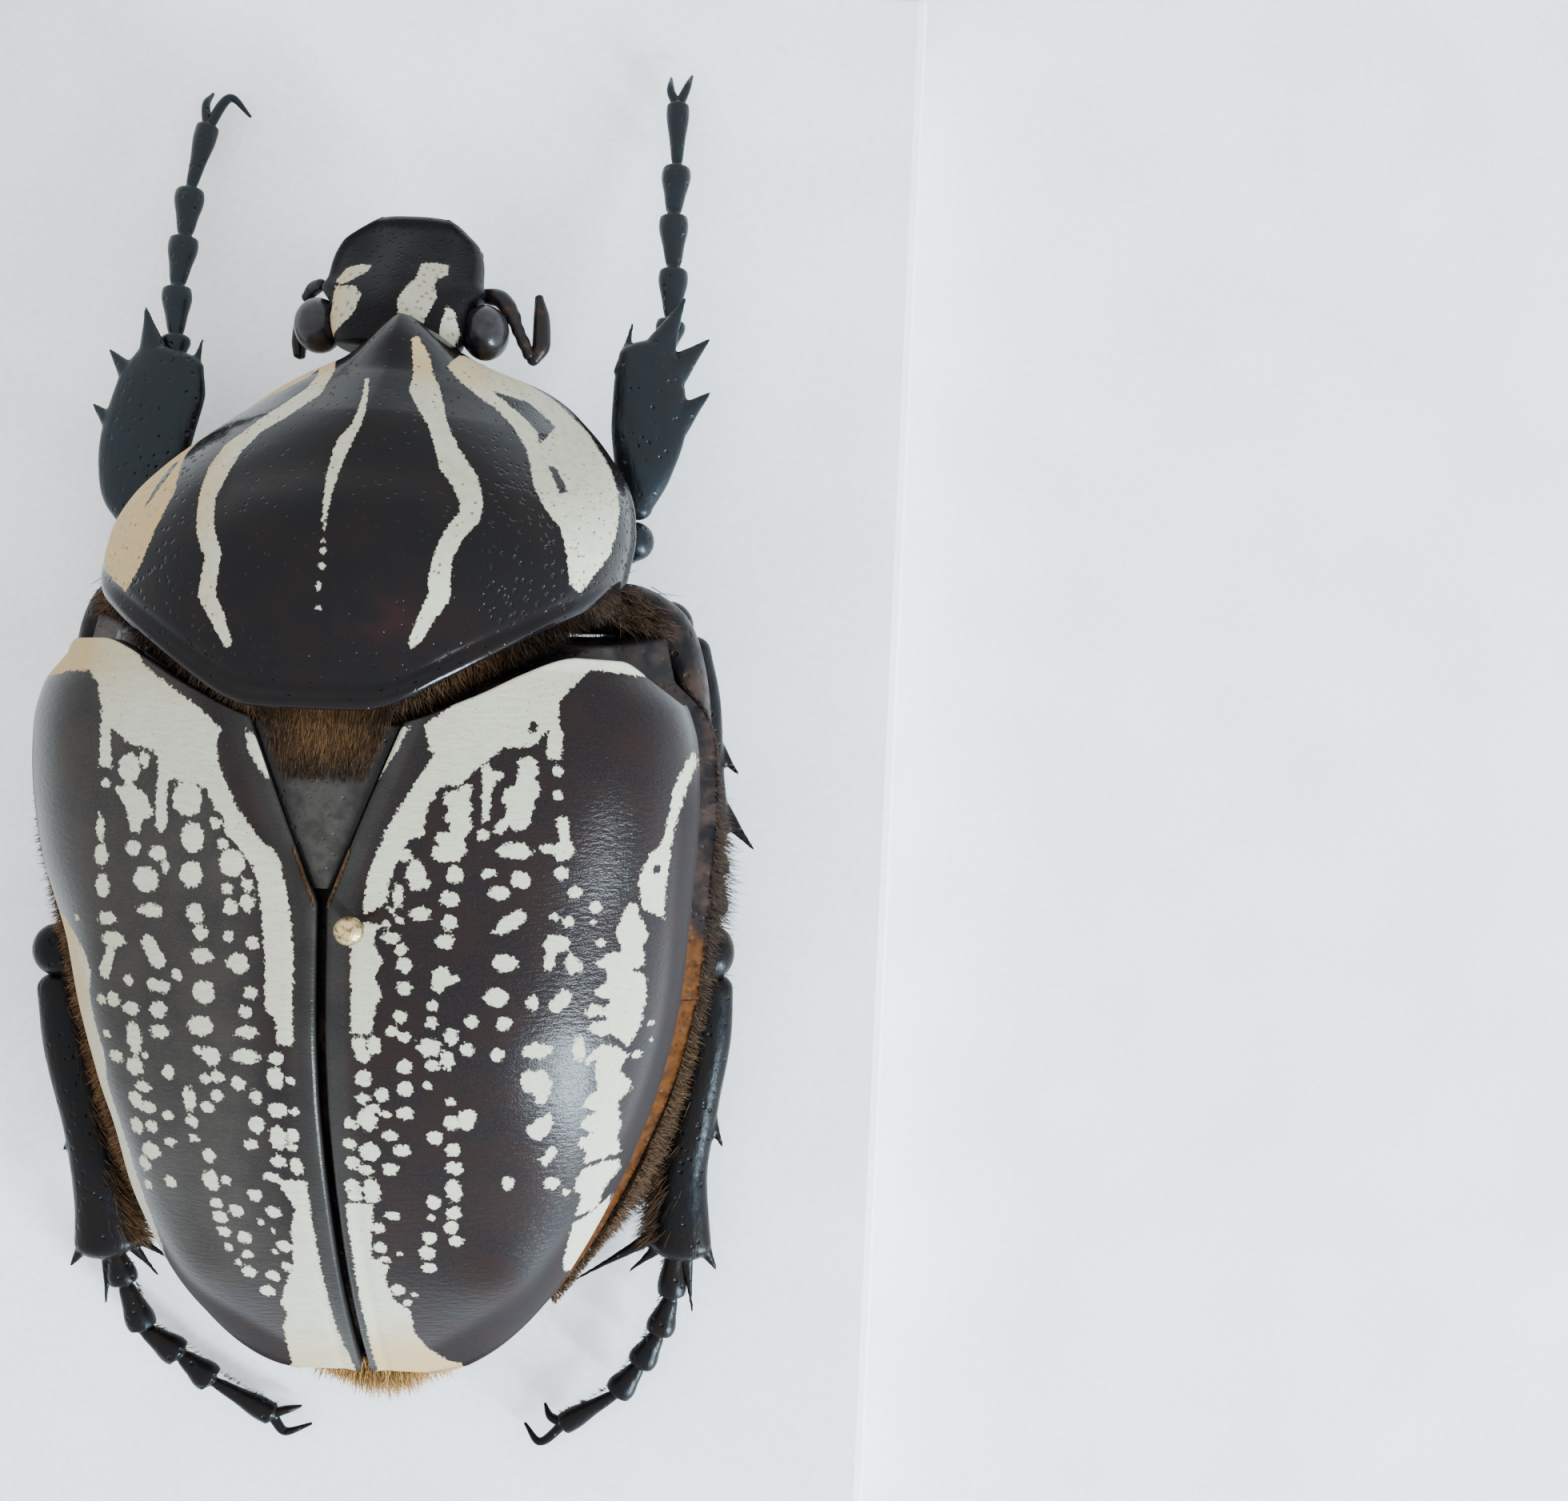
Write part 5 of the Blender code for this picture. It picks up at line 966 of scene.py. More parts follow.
def shield_finish(name="shield_chitin"):
    """Glossy black with fine pits on the disc and coarse ones on the flanks, and cream stripes."""
    f = finishes()
    made = Finish(name)
    chalk = chalk_of(made, 0.2, 0.6, 0.36, 0.04)
    spacing = f.puncture / MM
    fine_pits = pits(made, spacing, 0.22, 0.3)
    coarse_pits = pits(made, spacing * 0.85, 0.34, 0.25) * made.attribute("coarse")
    swell = made.noise(0.7, 2.0)
    cloud = made.noise(3.0, 2.0)
    black = made.mix(made.band(cloud, 0.4, 0.7), f.black, (0.007, 0.0045, 0.0045))
    black = made.mix(made.attribute("ruddy") * made.band(cloud, 0.3, 0.6), black, (0.016, 0.006, 0.006))
    # Dust and a painted sheen: grey where the scutellum's field says so
    black = made.mix(made.attribute("dust") * made.band(swell, 0.3, 0.7, 0.5, 1.0), black, DUST_AND_SHEEN)
    cream = made.mix(warmth_of(made, cloud, 0.6), f.cream, f.warm_cream)
    cream = made.mix(made.band(swell, 0.4, 0.75, 0.0, 0.35), cream, dimmed(f.cream, 0.6))
    # Painted shade in the pits of the cream
    cream = made.mix(fine_pits * 0.85, cream, PIT_SHADE)
    relief = swell * 0.2 - fine_pits * 0.6 - coarse_pits
    return made.shade(
        Base_Color=made.mix(chalk, black, cream),
        Roughness=made.band(chalk + swell * 0.3, 0.0, 1.2, 0.13, 0.62),
        Normal=made.bump(relief, 0.08, 0.9),
        Specular_IOR_Level=0.12,
    )


def head_finish():
    """Dull black, closely pitted, with cream patches on the crown."""
    f = finishes()
    made = Finish("head_chitin")
    chalk = chalk_of(made, 0.16, 0.6, 0.4, 0.04)
    hollow = pits(made, 0.4, 0.36, 0.25)
    swell = made.noise(0.6, 3.0)
    cream = made.mix(warmth_of(made, swell, 0.6), dimmed(f.cream, 0.85), f.warm_cream)
    # Painted shade in the pits of the cream
    cream = made.mix(hollow * 0.7, cream, (0.14, 0.10, 0.06))
    return made.shade(
        Base_Color=made.mix(chalk, made.mix(swell, f.black, (0.006, 0.0055, 0.006)), cream),
        Roughness=made.band(chalk + swell * 0.4, 0.0, 1.2, 0.42, 0.65),
        Normal=made.bump(swell * 0.3 - hollow, 0.06, 0.9),
        Specular_IOR_Level=0.07,
    )


def leg_finish(name="leg_chitin", tint=(0.0035, 0.006, 0.0085), level=0.25):
    """Blue-black chitin with scattered pits and faint lengthwise wrinkles."""
    f = finishes()
    made = Finish(name)
    hollow = pits(made, 0.6, 0.3, 0.35)
    wrinkle = made.noise(0.5, 3.0, 0.6, (1.0, 0.35, 1.0))
    black = made.mix(made.band(made.noise(1.8, 2.0), 0.35, 0.7), f.black, tint)
    return made.shade(
        Base_Color=black,
        Roughness=made.band(wrinkle, 0.2, 0.8, 0.22, 0.42),
        Normal=made.bump(wrinkle * 0.8 - hollow, 0.08, 0.9),
        Specular_IOR_Level=level,
        Specular_Tint=(0.8, 0.93, 1.0),
    )


def brown_finish():
    """Brown-black chitin of the antennae and mouthparts."""
    made = Finish("brown_chitin")
    cloud = made.noise(0.7, 3.0)
    return made.shade(
        Base_Color=made.mix(made.band(cloud, 0.5, 0.8), (0.006, 0.0045, 0.0045), (0.04, 0.014, 0.006)),
        Roughness=made.band(cloud, 0.2, 0.8, 0.25, 0.45),
        Normal=made.bump(made.noise(0.12, 3.0), 0.02),
        Specular_IOR_Level=0.2,
    )


def body_finish():
    """Body under the wing cases: black in front, rust at the rims, coarsely pitted."""
    f = finishes()
    made = Finish("underside_chitin")
    rust = made.band(made.attribute("rust") + (made.noise(1.2, 3.0) - 0.5) * 0.5, 0.35, 0.65)
    hollow = pits(made, 0.7, 0.34, 0.3)
    black = made.mix(made.band(made.noise(2.0, 3.0), 0.4, 0.7), f.black, (0.03, 0.018, 0.014))
    ruddy = made.mix(made.band(made.noise(0.6, 3.0), 0.3, 0.7), f.rust, dimmed(f.rust, 0.45))
    return made.shade(
        Base_Color=made.mix(rust, black, ruddy),
        Roughness=made.band(made.noise(0.9, 3.0), 0.2, 0.8, 0.28, 0.55),
        Normal=made.bump(made.noise(0.3, 3.0) * 0.3 - hollow, 0.08, 0.8),
        Specular_IOR_Level=0.1,
    )


def eye_finish():
    """Very glossy black with a fine six-sided grain."""
    made = Finish("eye_gloss")
    facet = made.cells(0.09, randomness=0.2)
    cloud = made.band(made.noise(0.8, 2.0), 0.3, 0.7)
    return made.shade(
        Base_Color=made.mix(cloud, (0.006, 0.006, 0.009), (0.02, 0.018, 0.02)),
        Roughness=made.band(facet, 0.1, 0.6, 0.12, 0.26),
        Normal=made.bump(facet, 0.012, 0.6),
        Coat_Weight=0.15,
        Coat_Roughness=0.04,
        Specular_IOR_Level=0.2,
    )


def brass_finish():
    """Worn brass with dark grime in fine scratches."""
    f = finishes()
    made = Finish("pin_brass")
    grime = made.noise(0.35, 4.0, 0.65)
    return made.shade(
        Base_Color=made.mix(made.band(grime, 0.42, 0.66), f.brass, (0.11, 0.08, 0.05)),
        Roughness=made.band(grime, 0.3, 0.7, 0.2, 0.5),
        Metallic=made.band(grime, 0.5, 0.8, 1.0, 0.7),
        Normal=made.bump(made.noise(0.18, 3.0, 0.6, (1.0, 1.0, 3.0)), 0.03),
    )


def hair_finish(name, colour):
    """Dry hair that differs a little from strand to strand, and is darker where its field says so."""
    made = Finish(name)
    tone = made.attribute("tone") + (made.noise(1.0, 2.0) - 0.5) * 0.5
    dark, pale = (tuple(min(1.0, c * share) for c in colour) for share in (0.5, 1.6))
    tint = made.mix(made.band(tone, 0.0, 1.0), dark, pale)
    sooty = made.mix(made.band(tone, 0.2, 1.0), SOOTY_HAIR, dimmed(SOOTY_HAIR, 3.0))
    return made.shade(
        Base_Color=made.mix(made.attribute("golden"), sooty, tint),
        Roughness=made.band(tone, 0.0, 1.0, 0.6, 0.45),
        Normal=made.bump(made.noise(0.05, 2.0), 0.004),
        Specular_IOR_Level=0.1,
    )


def foam_finish(name="foam_white"):
    """White foam board, faintly clouded, with fine crushed grains."""
    f = finishes()
    made = Finish(name)
    tone = made.noise(9.0, 1.0) + made.noise(0.45, 1.0) * 0.8
    white = made.mix(made.band(tone, 0.6, 1.2), dimmed(f.ground, 0.9), f.ground)
    return made.shade(Base_Color=white, Roughness=0.9, Specular_IOR_Level=0.0)


# Wing cases


def wing_grid(side, rows, columns):
    """Outer face of one wing case, in rows from its front edge to the apex."""
    exponent = ELYTRA_ROUNDNESS / 2
    front_y = ELYTRA_BASE_Y + elytra_front_edge(0.2)
    v = np.sin(0.5 * math.pi * np.linspace(0, 1, rows)) ** 1.15
    v = (v + np.linspace(0, 1, rows)) / 2
    inner_y = front_y + (ELYTRA_BASE_Y - ELYTRA_LENGTH - front_y) * v
    inner_x = np.maximum(scutellum_half_width(inner_y) + GAP, GAP / 2)
    first = np.arcsin((inner_x / half_width(inner_y)) ** exponent)[:, None]
    front = np.arcsin(((scutellum_half_width(front_y) + GAP) / half_width(front_y)) ** exponent)
    u = np.linspace(0, 1, columns)[None, :]
    share = np.sin(front + (math.pi / 2 - front) * u) ** (1 / exponent)
    edge_y = ELYTRA_BASE_Y + elytra_front_edge(share)
    y = edge_y + (ELYTRA_BASE_Y - ELYTRA_LENGTH - edge_y) * v[:, None]
    angle = first + (math.pi / 2 - first) * u
    x = half_width(y) * np.sin(angle) ** (2 / ELYTRA_ROUNDNESS)
    low = margin_height(y)
    lift = np.maximum(np.cos(angle), 0)
    h = low + (ridge_height(y) - low) * lift ** (2 / ELYTRA_ROUNDNESS)
    h = h + boss(x, y, SHOULDER_BOSS) + boss(x, y, APICAL_BOSS)
    if side < 0:
        x = x - left_tuck(y) * smooth_step(x / half_width(y), 0.66, 1.0)
    x = np.maximum(x, GAP / 2)
    return np.stack([x * side, y, h], axis=2), inner_x


def make_wing_case(side, finish):
    rows, columns = WING_GRID
    grid, inner_x = wing_grid(side, rows, columns)
    x, y = grid[..., 0], grid[..., 1]
    normal = grid_normals(grid) * side
    normal *= np.sign(normal[..., 2:3].mean())
    from_suture = np.abs(x) - inner_x[:, None]
    steps = np.linalg.norm(np.diff(grid, axis=1), axis=2)
    to_margin = np.concatenate([steps[:, ::-1].cumsum(axis=1)[:, ::-1], np.zeros((rows, 1))], axis=1)
    bead = 0.05 * bell(from_suture, 0.35, 0.3) - 0.04 * bell(from_suture, 1.0, 0.25)
    rib = 0.1 * bell(to_margin, 0.35, 0.25)
    outer = grid + normal * (bead + rib)[..., None]
    inner = grid - normal * (ELYTRA_THICKNESS * np.minimum(1, 0.35 + to_margin / 1.5))[..., None]
    inner[..., 0] = np.maximum(inner[..., 0] * side, GAP / 2) * side
    flip = side < 0
    faces = np.concatenate(
        [
            grid_faces(rows, columns, 0, flip),
            grid_faces(rows, columns, rows * columns, not flip),
            rim_faces(rows, columns, rows * columns, flip),
        ]
    )
    name = "wing_case_right" if side > 0 else "wing_case_left"
    mesh = new_mesh(name, np.concatenate([outer.reshape(-1, 3), inner.reshape(-1, 3)]), faces)
    pattern = (
        {"fields": RIGHT_FIELDS, "spots": RIGHT_SPOTS, "holes": RIGHT_HOLES}
        if side > 0
        else {"fields": LEFT_FIELDS, "trails": LEFT_TRAILS, "spots": LEFT_SPOTS}
    )
    mark = marking(x, y, **pattern)
    tail = smooth_step(-y, 30, 36)
    if side > 0:
        warm = tail * 0.9 + 0.15 * smooth_step(x, 12, 17)
    else:
        warm = tail * 0.5 + smooth_step(-x, 11.5, 15) * 0.75 + smooth_step(y, 1, 5) * 0.5
    edge = np.minimum(from_suture, 5.0)
    dull = smooth_step(-to_margin, -6, -3) * smooth_step(-y, -3, 3) * 0.9
    # Dust and a painted sheen along the seam, and a painted sheen over the left wing case forward of its tip
    dust = 0.6 * bell(from_suture, 0.0, 1.2)
    if side < 0:
        dust = np.maximum(dust, 0.75 * smooth_step(from_suture, 1.5, 5) * smooth_step(y, -33, -26))
    set_values(
        mesh,
        dust=np.concatenate([dust.ravel(), np.zeros(mark.size)]),
        dull=np.concatenate([dull.ravel(), np.ones(mark.size)]),
        mark=np.concatenate([mark.ravel(), np.full(mark.size, UNMARKED)]),
        warm=np.concatenate([warm.ravel(), np.zeros(mark.size)]),
        edge=np.concatenate([edge.ravel(), np.full(mark.size, 5.0)]),
    )
    return add_piece(name, mesh, finish, ["elytron_right" if side > 0 else "elytron_left"])


# Prothorax and head


def make_prothorax(finish):
    rings, sides = SHIELD_GRID
    t = np.linspace(0, 1, rings)[:, None]
    angle = (2 * math.pi * np.arange(sides) / sides)[None, :]
    width = PRONOTUM_HALF_WIDTH * pronotum_outline(t)
    sway = PRONOTUM_SWAY * (1 - t**1.6) + PROTHORAX_SHIFT
    y = PRONOTUM_FRONT_Y + (PRONOTUM_CORNER_Y - PRONOTUM_FRONT_Y) * t
    margin = pronotum_margin(t)
    rise = pronotum_crest(t) - margin
    drop = margin - PROSTERNUM_HEIGHT - PROSTERNUM_RISE * (1 - t) ** 1.5
    lobe = np.maximum(0, (t - LOBE_START) / (1 - LOBE_START)) ** 1.4
    bend = 2 / pronotum_roundness(t)
    lift = np.cos(angle)
    upper = lift >= 0
    share = power(np.sin(angle), bend)
    back = pronotum_lobe(np.abs(share)) * lobe
    px = np.where(upper, width * share, width * power(np.sin(angle), 1.3))
    py = np.where(upper, y - back, y + 0 * share)
    ph = np.where(upper, margin + rise * np.abs(lift) ** bend, margin + drop * power(lift, 1.25))
    hind = y[-1] - pronotum_lobe(np.abs(share[-1:]))
    to_edge = np.where(upper, py - hind, 9.0)
    rim = 0.28 * bell(to_edge, 0.35, 0.34) - 0.16 * bell(to_edge, 1.15, 0.3)
    side_rim = 0.22 * bell(np.abs(lift), 0.03, 0.035) * upper
    dent = -0.35 * bell(py + 0.03 * px**2, 15.0, 1.6) * smooth_step(-np.abs(px), -9, -6)
    ph = ph + np.where(upper, (rim + dent) * np.abs(lift) ** 0.5, 0)
    knob = bell(px, 0.0, 2.3) * smooth_step(-t, -0.16, 0.0) * upper
    py = py + 1.5 * knob
    ph = ph + 0.25 * bell(px, 0.0, 2.0) * bell(py, 23.2, 1.1) * upper
    local = np.stack([px, py, ph], axis=2)
    spread = 1 + (side_rim / np.maximum(width, 1.0))[..., None]
    local[..., :1] *= spread
    points = local + np.stack([sway + 0 * px, 0 * px, 0 * px], axis=2)
    front = (PRONOTUM_SWAY + PROTHORAX_SHIFT, PRONOTUM_FRONT_Y - 0.6, 11.5)
    rear = (PROTHORAX_SHIFT, PRONOTUM_CORNER_Y - 1.4, 12.5)
    mesh = new_mesh("shield", loft_points(points, front, rear), loft_faces(rings, sides))
    plan_x = points[..., 0] - PROTHORAX_SHIFT
    mark = marking(plan_x, py, SHIELD_FIELDS, SHIELD_TRAILS, SHIELD_SPOTS, streaks=SHIELD_STREAKS)
    mark = np.where(upper & (to_edge > 1.3), mark, UNMARKED)
    mark = np.minimum(mark, (np.abs(lift) - 0.05) * 8 + 0 * mark)
    ruddy = bell(plan_x, 3.6, 1.8) * bell(py, 7.0, 1.1)
    coarse = smooth_step(np.abs(plan_x), 6.5, 9.5) + smooth_step(-py, -7.5, -5.5) * 0.6
    coarse = np.clip(coarse * smooth_step(to_edge, 0.9, 1.4), 0, 1)
    warm = smooth_step(-plan_x, 3, 10) * 0.95 + smooth_step(py, 18, 22) * 0.7
    warm = warm - smooth_step(plan_x, 3, 9) * 0.3
    ends = [0.0, 0.0]
    set_values(
        mesh,
        mark=[*mark.ravel(), UNMARKED, UNMARKED],
        warm=[*warm.ravel(), *ends],
        coarse=[*coarse.ravel(), *ends],
        ruddy=[*ruddy.ravel(), *ends],
    )
    return add_piece("shield", mesh, finish, ["prothorax"])


def make_head(finish):
    rings, sides = HEAD_GRID
    outline, crown, under = (curve_through(line) for line in (HEAD_OUTLINE, HEAD_CROWN, HEAD_UNDERSIDE))
    t = np.linspace(0, 1, rings)[:, None] ** 0.9
    y = HEAD_REAR_Y + (HEAD_FRONT_Y - HEAD_REAR_Y) * t
    angle = (2 * math.pi * np.arange(sides) / sides)[None, :]
    top, low = crown(t), under(t)
    middle = top - 0.38 * (top - low)
    lift = np.cos(angle)
    px = outline(t) * power(np.sin(angle), 0.72)
    above = middle + (top - middle) * np.abs(lift) ** 0.8
    ph = np.where(lift >= 0, above, middle + (middle - low) * lift)
    inward = outline(t) - np.abs(px)
    to_edge = np.minimum(inward, HEAD_FRONT_Y - y)
    plate = smooth_step(y, 26.5, 29)
    rim = 0.3 * bell(to_edge, 0.3, 0.3) * plate
    keel = 0.35 * bell(px, 0.0, 1.0) * smooth_step(y, 24.5, 27) * smooth_step(-y, -31.5, -29)
    hollow = -0.3 * bell(np.abs(px), 2.2, 0.9) * plate
    ph = ph + np.where(lift > 0.15, rim + keel + hollow, 0)
    points = np.stack([px + HEAD_SHIFT, y + 0 * px, ph], axis=2)
    mesh = new_mesh("head_capsule", loft_points(points), loft_faces(rings, sides))
    mark = np.where(lift > 0, marking(px + HEAD_SHIFT, y + 0 * px, HEAD_FIELDS), UNMARKED)
    warm = smooth_step(-px, 1.5, 4) * 0.6
    set_values(mesh, mark=[*mark.ravel(), UNMARKED, UNMARKED], warm=[*warm.ravel(), 0, 0])
    return add_piece("head_capsule", mesh, finish, ["head"])


def make_eye(side, finish):
    rings, sides = EYE_GRID
    a = math.pi * (np.arange(rings) + 0.5)[:, None] / rings
    b = 2 * math.pi * np.arange(sides)[None, :] / sides
    centre = np.array([side * EYE_PLACE[0] + HEAD_SHIFT, EYE_PLACE[1], EYE_PLACE[2]])
    unit = np.stack([np.sin(a) * np.cos(b), np.sin(a) * np.sin(b), np.cos(a) + 0 * b], axis=2)
    name = "eye_gloss_right" if side > 0 else "eye_gloss_left"
    mesh = new_mesh(name, loft_points(centre + unit * EYE_RADII), loft_faces(rings, sides))
    return add_piece(name, mesh, finish, ["eye_right" if side > 0 else "eye_left"])


def turned(keys, side, shift=0.0):
    """Keys with x turned to that side: 1 is the right, -1 the left."""
    return [(side * k[0] + shift, *k[1:]) for k in keys]


def make_antenna(side, stalk_keys, club_keys, finish):
    name = "right" if side > 0 else "left"
    keys = resample(turned(stalk_keys, side, HEAD_SHIFT), 60)
    beads = 1 + 0.07 * np.cos(np.linspace(0, 2 * math.pi * 7, 60))
    beads[:26] = 1.05
    keys[:, 3] *= beads
    keys[:, 4] *= beads
    stalk = limb_mesh("stalk", keys.tolist(), 60, 14)
    add_piece(f"antenna_stalk_{name}", stalk, finish, [f"antenna_{name}"])
    blades = []
    for lean, share in ((-0.3, 0.8), (0.0, 1.0), (0.3, 0.85)):
        rows = [(x + lean * side * 0.4, y, h + lean * 0.3, w * 0.85 * share, d * share) for x, y, h, w, d in
                turned(club_keys, side, HEAD_SHIFT)]
        blades.append(limb_mesh("blade", rows, 24, 16))
    club = joined("club", blades)
    add_piece(f"antenna_blades_{name}", club, finish, [f"antenna_{name}_club"])


def make_mouthparts(finish):
    palps = [limb_mesh("palp", turned(PALP, side, HEAD_SHIFT), 20, 12) for side in (1, -1)]
    chin = limb_mesh("chin", turned(CHIN, 1, HEAD_SHIFT), 30, 28)
    mesh = joined("chin_and_palps", [chin, *palps])
    add_piece("chin_and_palps", mesh, finish, ["mouthparts"])


# Middle of the body


def make_scutellum(finish):
    rings = []
    shares = np.linspace(-1, 1, 41)
    for y in np.linspace(SCUTELLUM_FRONT_Y, SCUTELLUM_TIP_Y + 0.9, 60):
        half = scutellum_half_width(y) + 0.2
        top = ridge_height(y) - 0.05 - 0.25 * np.abs(shares) ** 3
        upper = rows_of(half * shares, 0 * shares + y, top)
        lower = rows_of(half * shares[::-1], 0 * shares + y, 0 * shares + ridge_height(y) - 1.05)
        rings.append(np.concatenate([upper, lower[1:-1]]))
    count = len(rings[0])
    points = loft_points(rings)
    mesh = new_mesh("scutellum_plate", points, loft_faces(len(rings), count))
    amount = len(points)
    wide = np.abs(points[:, 0]) / np.maximum(scutellum_half_width(points[:, 1]), 0.3)
    # Dust and a painted sheen, greyest down the plate's middle
    dust = 1.1 - 0.9 * np.clip(wide, 0, 1) ** 3
    set_values(mesh, mark=np.full(amount, UNMARKED), dust=dust, coarse=np.full(amount, 0.3))
    return add_piece("scutellum_plate", mesh, finish, ["scutellum"])


def body_ring(y, upper, lower, lower_power, sides):
    """Ring with a roof inside the wing cases and a belly that bulges past their rim."""
    quarter = sides // 4
    a = 0.5 * math.pi * np.arange(quarter + 1) / quarter
    rx = upper[0] * np.sin(a) ** (2 / ELYTRA_ROUNDNESS)
    rh = upper[1] + (upper[2] - upper[1]) * np.maximum(np.cos(a), 0) ** (2 / ELYTRA_ROUNDNESS)
    b = 0.5 * math.pi * (np.arange(1, quarter + 1) - 0.55) / (quarter - 0.55)
    bx = lower[0] * np.maximum(np.cos(b), 0) ** (2 / lower_power)
    bh = lower[1] - (lower[1] - lower[2]) * np.sin(b) ** (2 / lower_power)
    bx[-1], bh[-1] = 0.0, lower[2]
    x = np.concatenate([rx, bx])
    h = np.concatenate([rh, bh])
    right = rows_of(x, 0 * x + y, h)
    left = right[-2:0:-1] * (-1, 1, 1)
    return np.concatenate([right, left])


def make_thorax(finish):
    rings = []
    for t in np.linspace(0, 1, THORAX_RINGS):
        y = THORAX_FRONT_Y + (ABDOMEN_FRONT_Y - 0.02 - THORAX_FRONT_Y) * t
        margin = margin_height(y)
        squeeze = 0.93 + 0.07 * min(1.0, t * 4)
        ring = body_ring(
            y,
            ((half_width(y) - ROOF_INSET) * squeeze, margin - LEDGE_DEPTH, ridge_height(y) - ROOF_INSET),
            ((half_width(y) + SIDE_BULGE) * squeeze, margin - SIDE_DEPTH, BELLY_HEIGHT),
            1.32,
            BODY_SIDES,
        )
        high = ring[:, 2] > margin - 1.0
        lean = pronotum_lobe(np.minimum(np.abs(ring[:, 0]) / PRONOTUM_HALF_WIDTH, 1.0)) / PRONOTUM_LOBE[0][1]
        ring[high, 1] -= (THORAX_PULL * (1 - t) ** 3 * lean)[high]
        rings.append(ring)
    points = loft_points(rings, front=(0.0, PRONOTUM_CORNER_Y - 2.6, 12.0))
    mesh = new_mesh("thorax_shell", points, loft_faces(THORAX_RINGS, BODY_SIDES))
    wide, y = np.abs(points[:, 0]), points[:, 1]
    outer = half_width(y) + 0.8 + 0.4 * smooth_step(-y, 6, 14)
    rust = smooth_step(-y, 0.0, 1.5) * smooth_step(wide, 12, 15) * smooth_step(outer - wide, -0.15, 0.15)
    set_values(mesh, rust=rust)
    return add_piece("thorax_shell", mesh, finish, ["thorax"])


def make_shoulder_plates(finish):
    """Plates that swell out between the shield's hind corners and the wing cases, one each side."""
    sides = [limb_mesh("plate", turned(SHOULDER_PLATE, side), *LIMB_GRID) for side in (1, -1)]
    mesh = joined("shoulder_plates", sides)
    set_values(mesh, rust=np.zeros(len(mesh.vertices)))
    return add_piece("shoulder_plates", mesh, finish)


def make_abdomen(finish):
    rings = []
    wing_end = ELYTRA_BASE_Y - ELYTRA_LENGTH
    for t in np.linspace(0, 1, ABDOMEN_RINGS):
        y = ABDOMEN_FRONT_Y + (ABDOMEN_END_Y - ABDOMEN_FRONT_Y) * t
        inside = max(y - PYGIDIUM_REACH * t, wing_end)
        margin = margin_height(inside)
        narrow = abdomen_taper(t)
        step = STERNITE_STEP * ((t * STERNITE_COUNT) % 1.0) * (1.0 - t)
        top = ridge_height(inside) - ROOF_INSET - PYGIDIUM_DROP * t
        floor = BELLY_HEIGHT + abdomen_rise(t) + step
        side = min(margin - SIDE_DEPTH, (top + floor) / 2 + 2.0)
        axis = BODY_AXIS_HEIGHT
        upper = (
            (half_width(inside) - ROOF_INSET) * narrow,
            axis + (min(margin - LEDGE_DEPTH, top - 0.8) - axis) * narrow,
            axis + (top - axis) * narrow,
        )
        lower = (
            (half_width(y + 0.4 * t) + SIDE_BULGE * (1 - t)) * narrow,
            axis + (side - axis) * narrow,
            axis + (floor - axis) * narrow,
        )
        rings.append(body_ring(y, upper, lower, 1.35 + 0.5 * min(1.0, t * 2.2), BODY_SIDES))
    points = loft_points(rings)
    mesh = new_mesh("abdomen_rings", points, loft_faces(ABDOMEN_RINGS, BODY_SIDES))
    share = np.abs(points[:, 0]) / (1 + half_width(points[:, 1]))
    set_values(mesh, rust=0.35 + 0.65 * smooth_step(share, 0.55, 0.85))
    return add_piece("abdomen_rings", mesh, finish, ["abdomen"])


# Legs


def tooth_mesh(root, tip, radius):
    root, tip = np.array(root, float), np.array(tip, float)
    start = root + (root - tip) * 0.15
    keys = [
        (*start, radius * 1.1, radius * 0.6),
        (*(root + (tip - root) * 0.3), radius * 0.72, radius * 0.45),
        (*(root + (tip - root) * 0.7), radius * 0.32, radius * 0.26),
        (*tip, 0.1, 0.09),
    ]
    return limb_mesh("tooth", keys, 14, 12)


def foot_mesh(path):
    """A foot of five beads, each waisted at its root and flared at its end."""
    keys = []
    for i, (start, end) in enumerate(zip(path[:-1], path[1:])):
        start, end = np.array(start), np.array(end)
        for share, radius in LAST_BEAD if i == len(path) - 2 else BEAD:
            keys.append((*(start + (end - start) * share), radius, radius * 0.85))
    return limb_mesh("foot", keys, 150, 16)


def make_leg(name, plan, finish):
    femur = fused(limb_mesh(f"thigh_{name}", plan["femur"], *LIMB_GRID), THIGH_GRAIN)
    add_piece(f"thigh_{name}", femur, finish, [f"femur_{name}"])
    shin = limb_mesh("shin", plan["tibia"], *LIMB_GRID)
    teeth = [tooth_mesh(*each) for each in plan["teeth"]]
    mesh = fused(joined(f"shin_{name}", [shin, *teeth]), SHIN_GRAIN)
    add_piece(f"shin_{name}", mesh, finish, [f"tibia_{name}"])
    before, end = np.array(plan["foot"][-2]), np.array(plan["foot"][-1])
    root = end + (before - end) / np.linalg.norm(before - end) * 0.3
    claws = [
        limb_mesh("claw", [(*p, r, r) for p, r in zip((root, bend, tip), CLAW_RADII)], 18, 12)
        for bend, tip in plan["claws"]
    ]
    foot = joined(f"foot_{name}", [foot_mesh(plan["foot"]), *claws])
    add_piece(f"foot_{name}", foot, finish, [f"tarsus_{name}"])


def other_side(plan):
    made = {key: turned(plan[key], -1) for key in ("femur", "tibia", "foot")}
    made["teeth"] = [(*turned((root, tip), -1), radius) for root, tip, radius in plan["teeth"]]
    made["claws"] = [turned(pair, -1) for pair in plan["claws"]]
    return made


LEGS = {
    "front_right": FRONT_RIGHT,
    "front_left": FRONT_LEFT,
    "middle_right": MIDDLE_RIGHT,
    "middle_left": other_side(MIDDLE_RIGHT),
    "hind_right": HIND_RIGHT,
    "hind_left": HIND_LEFT,
}


# Pin and board


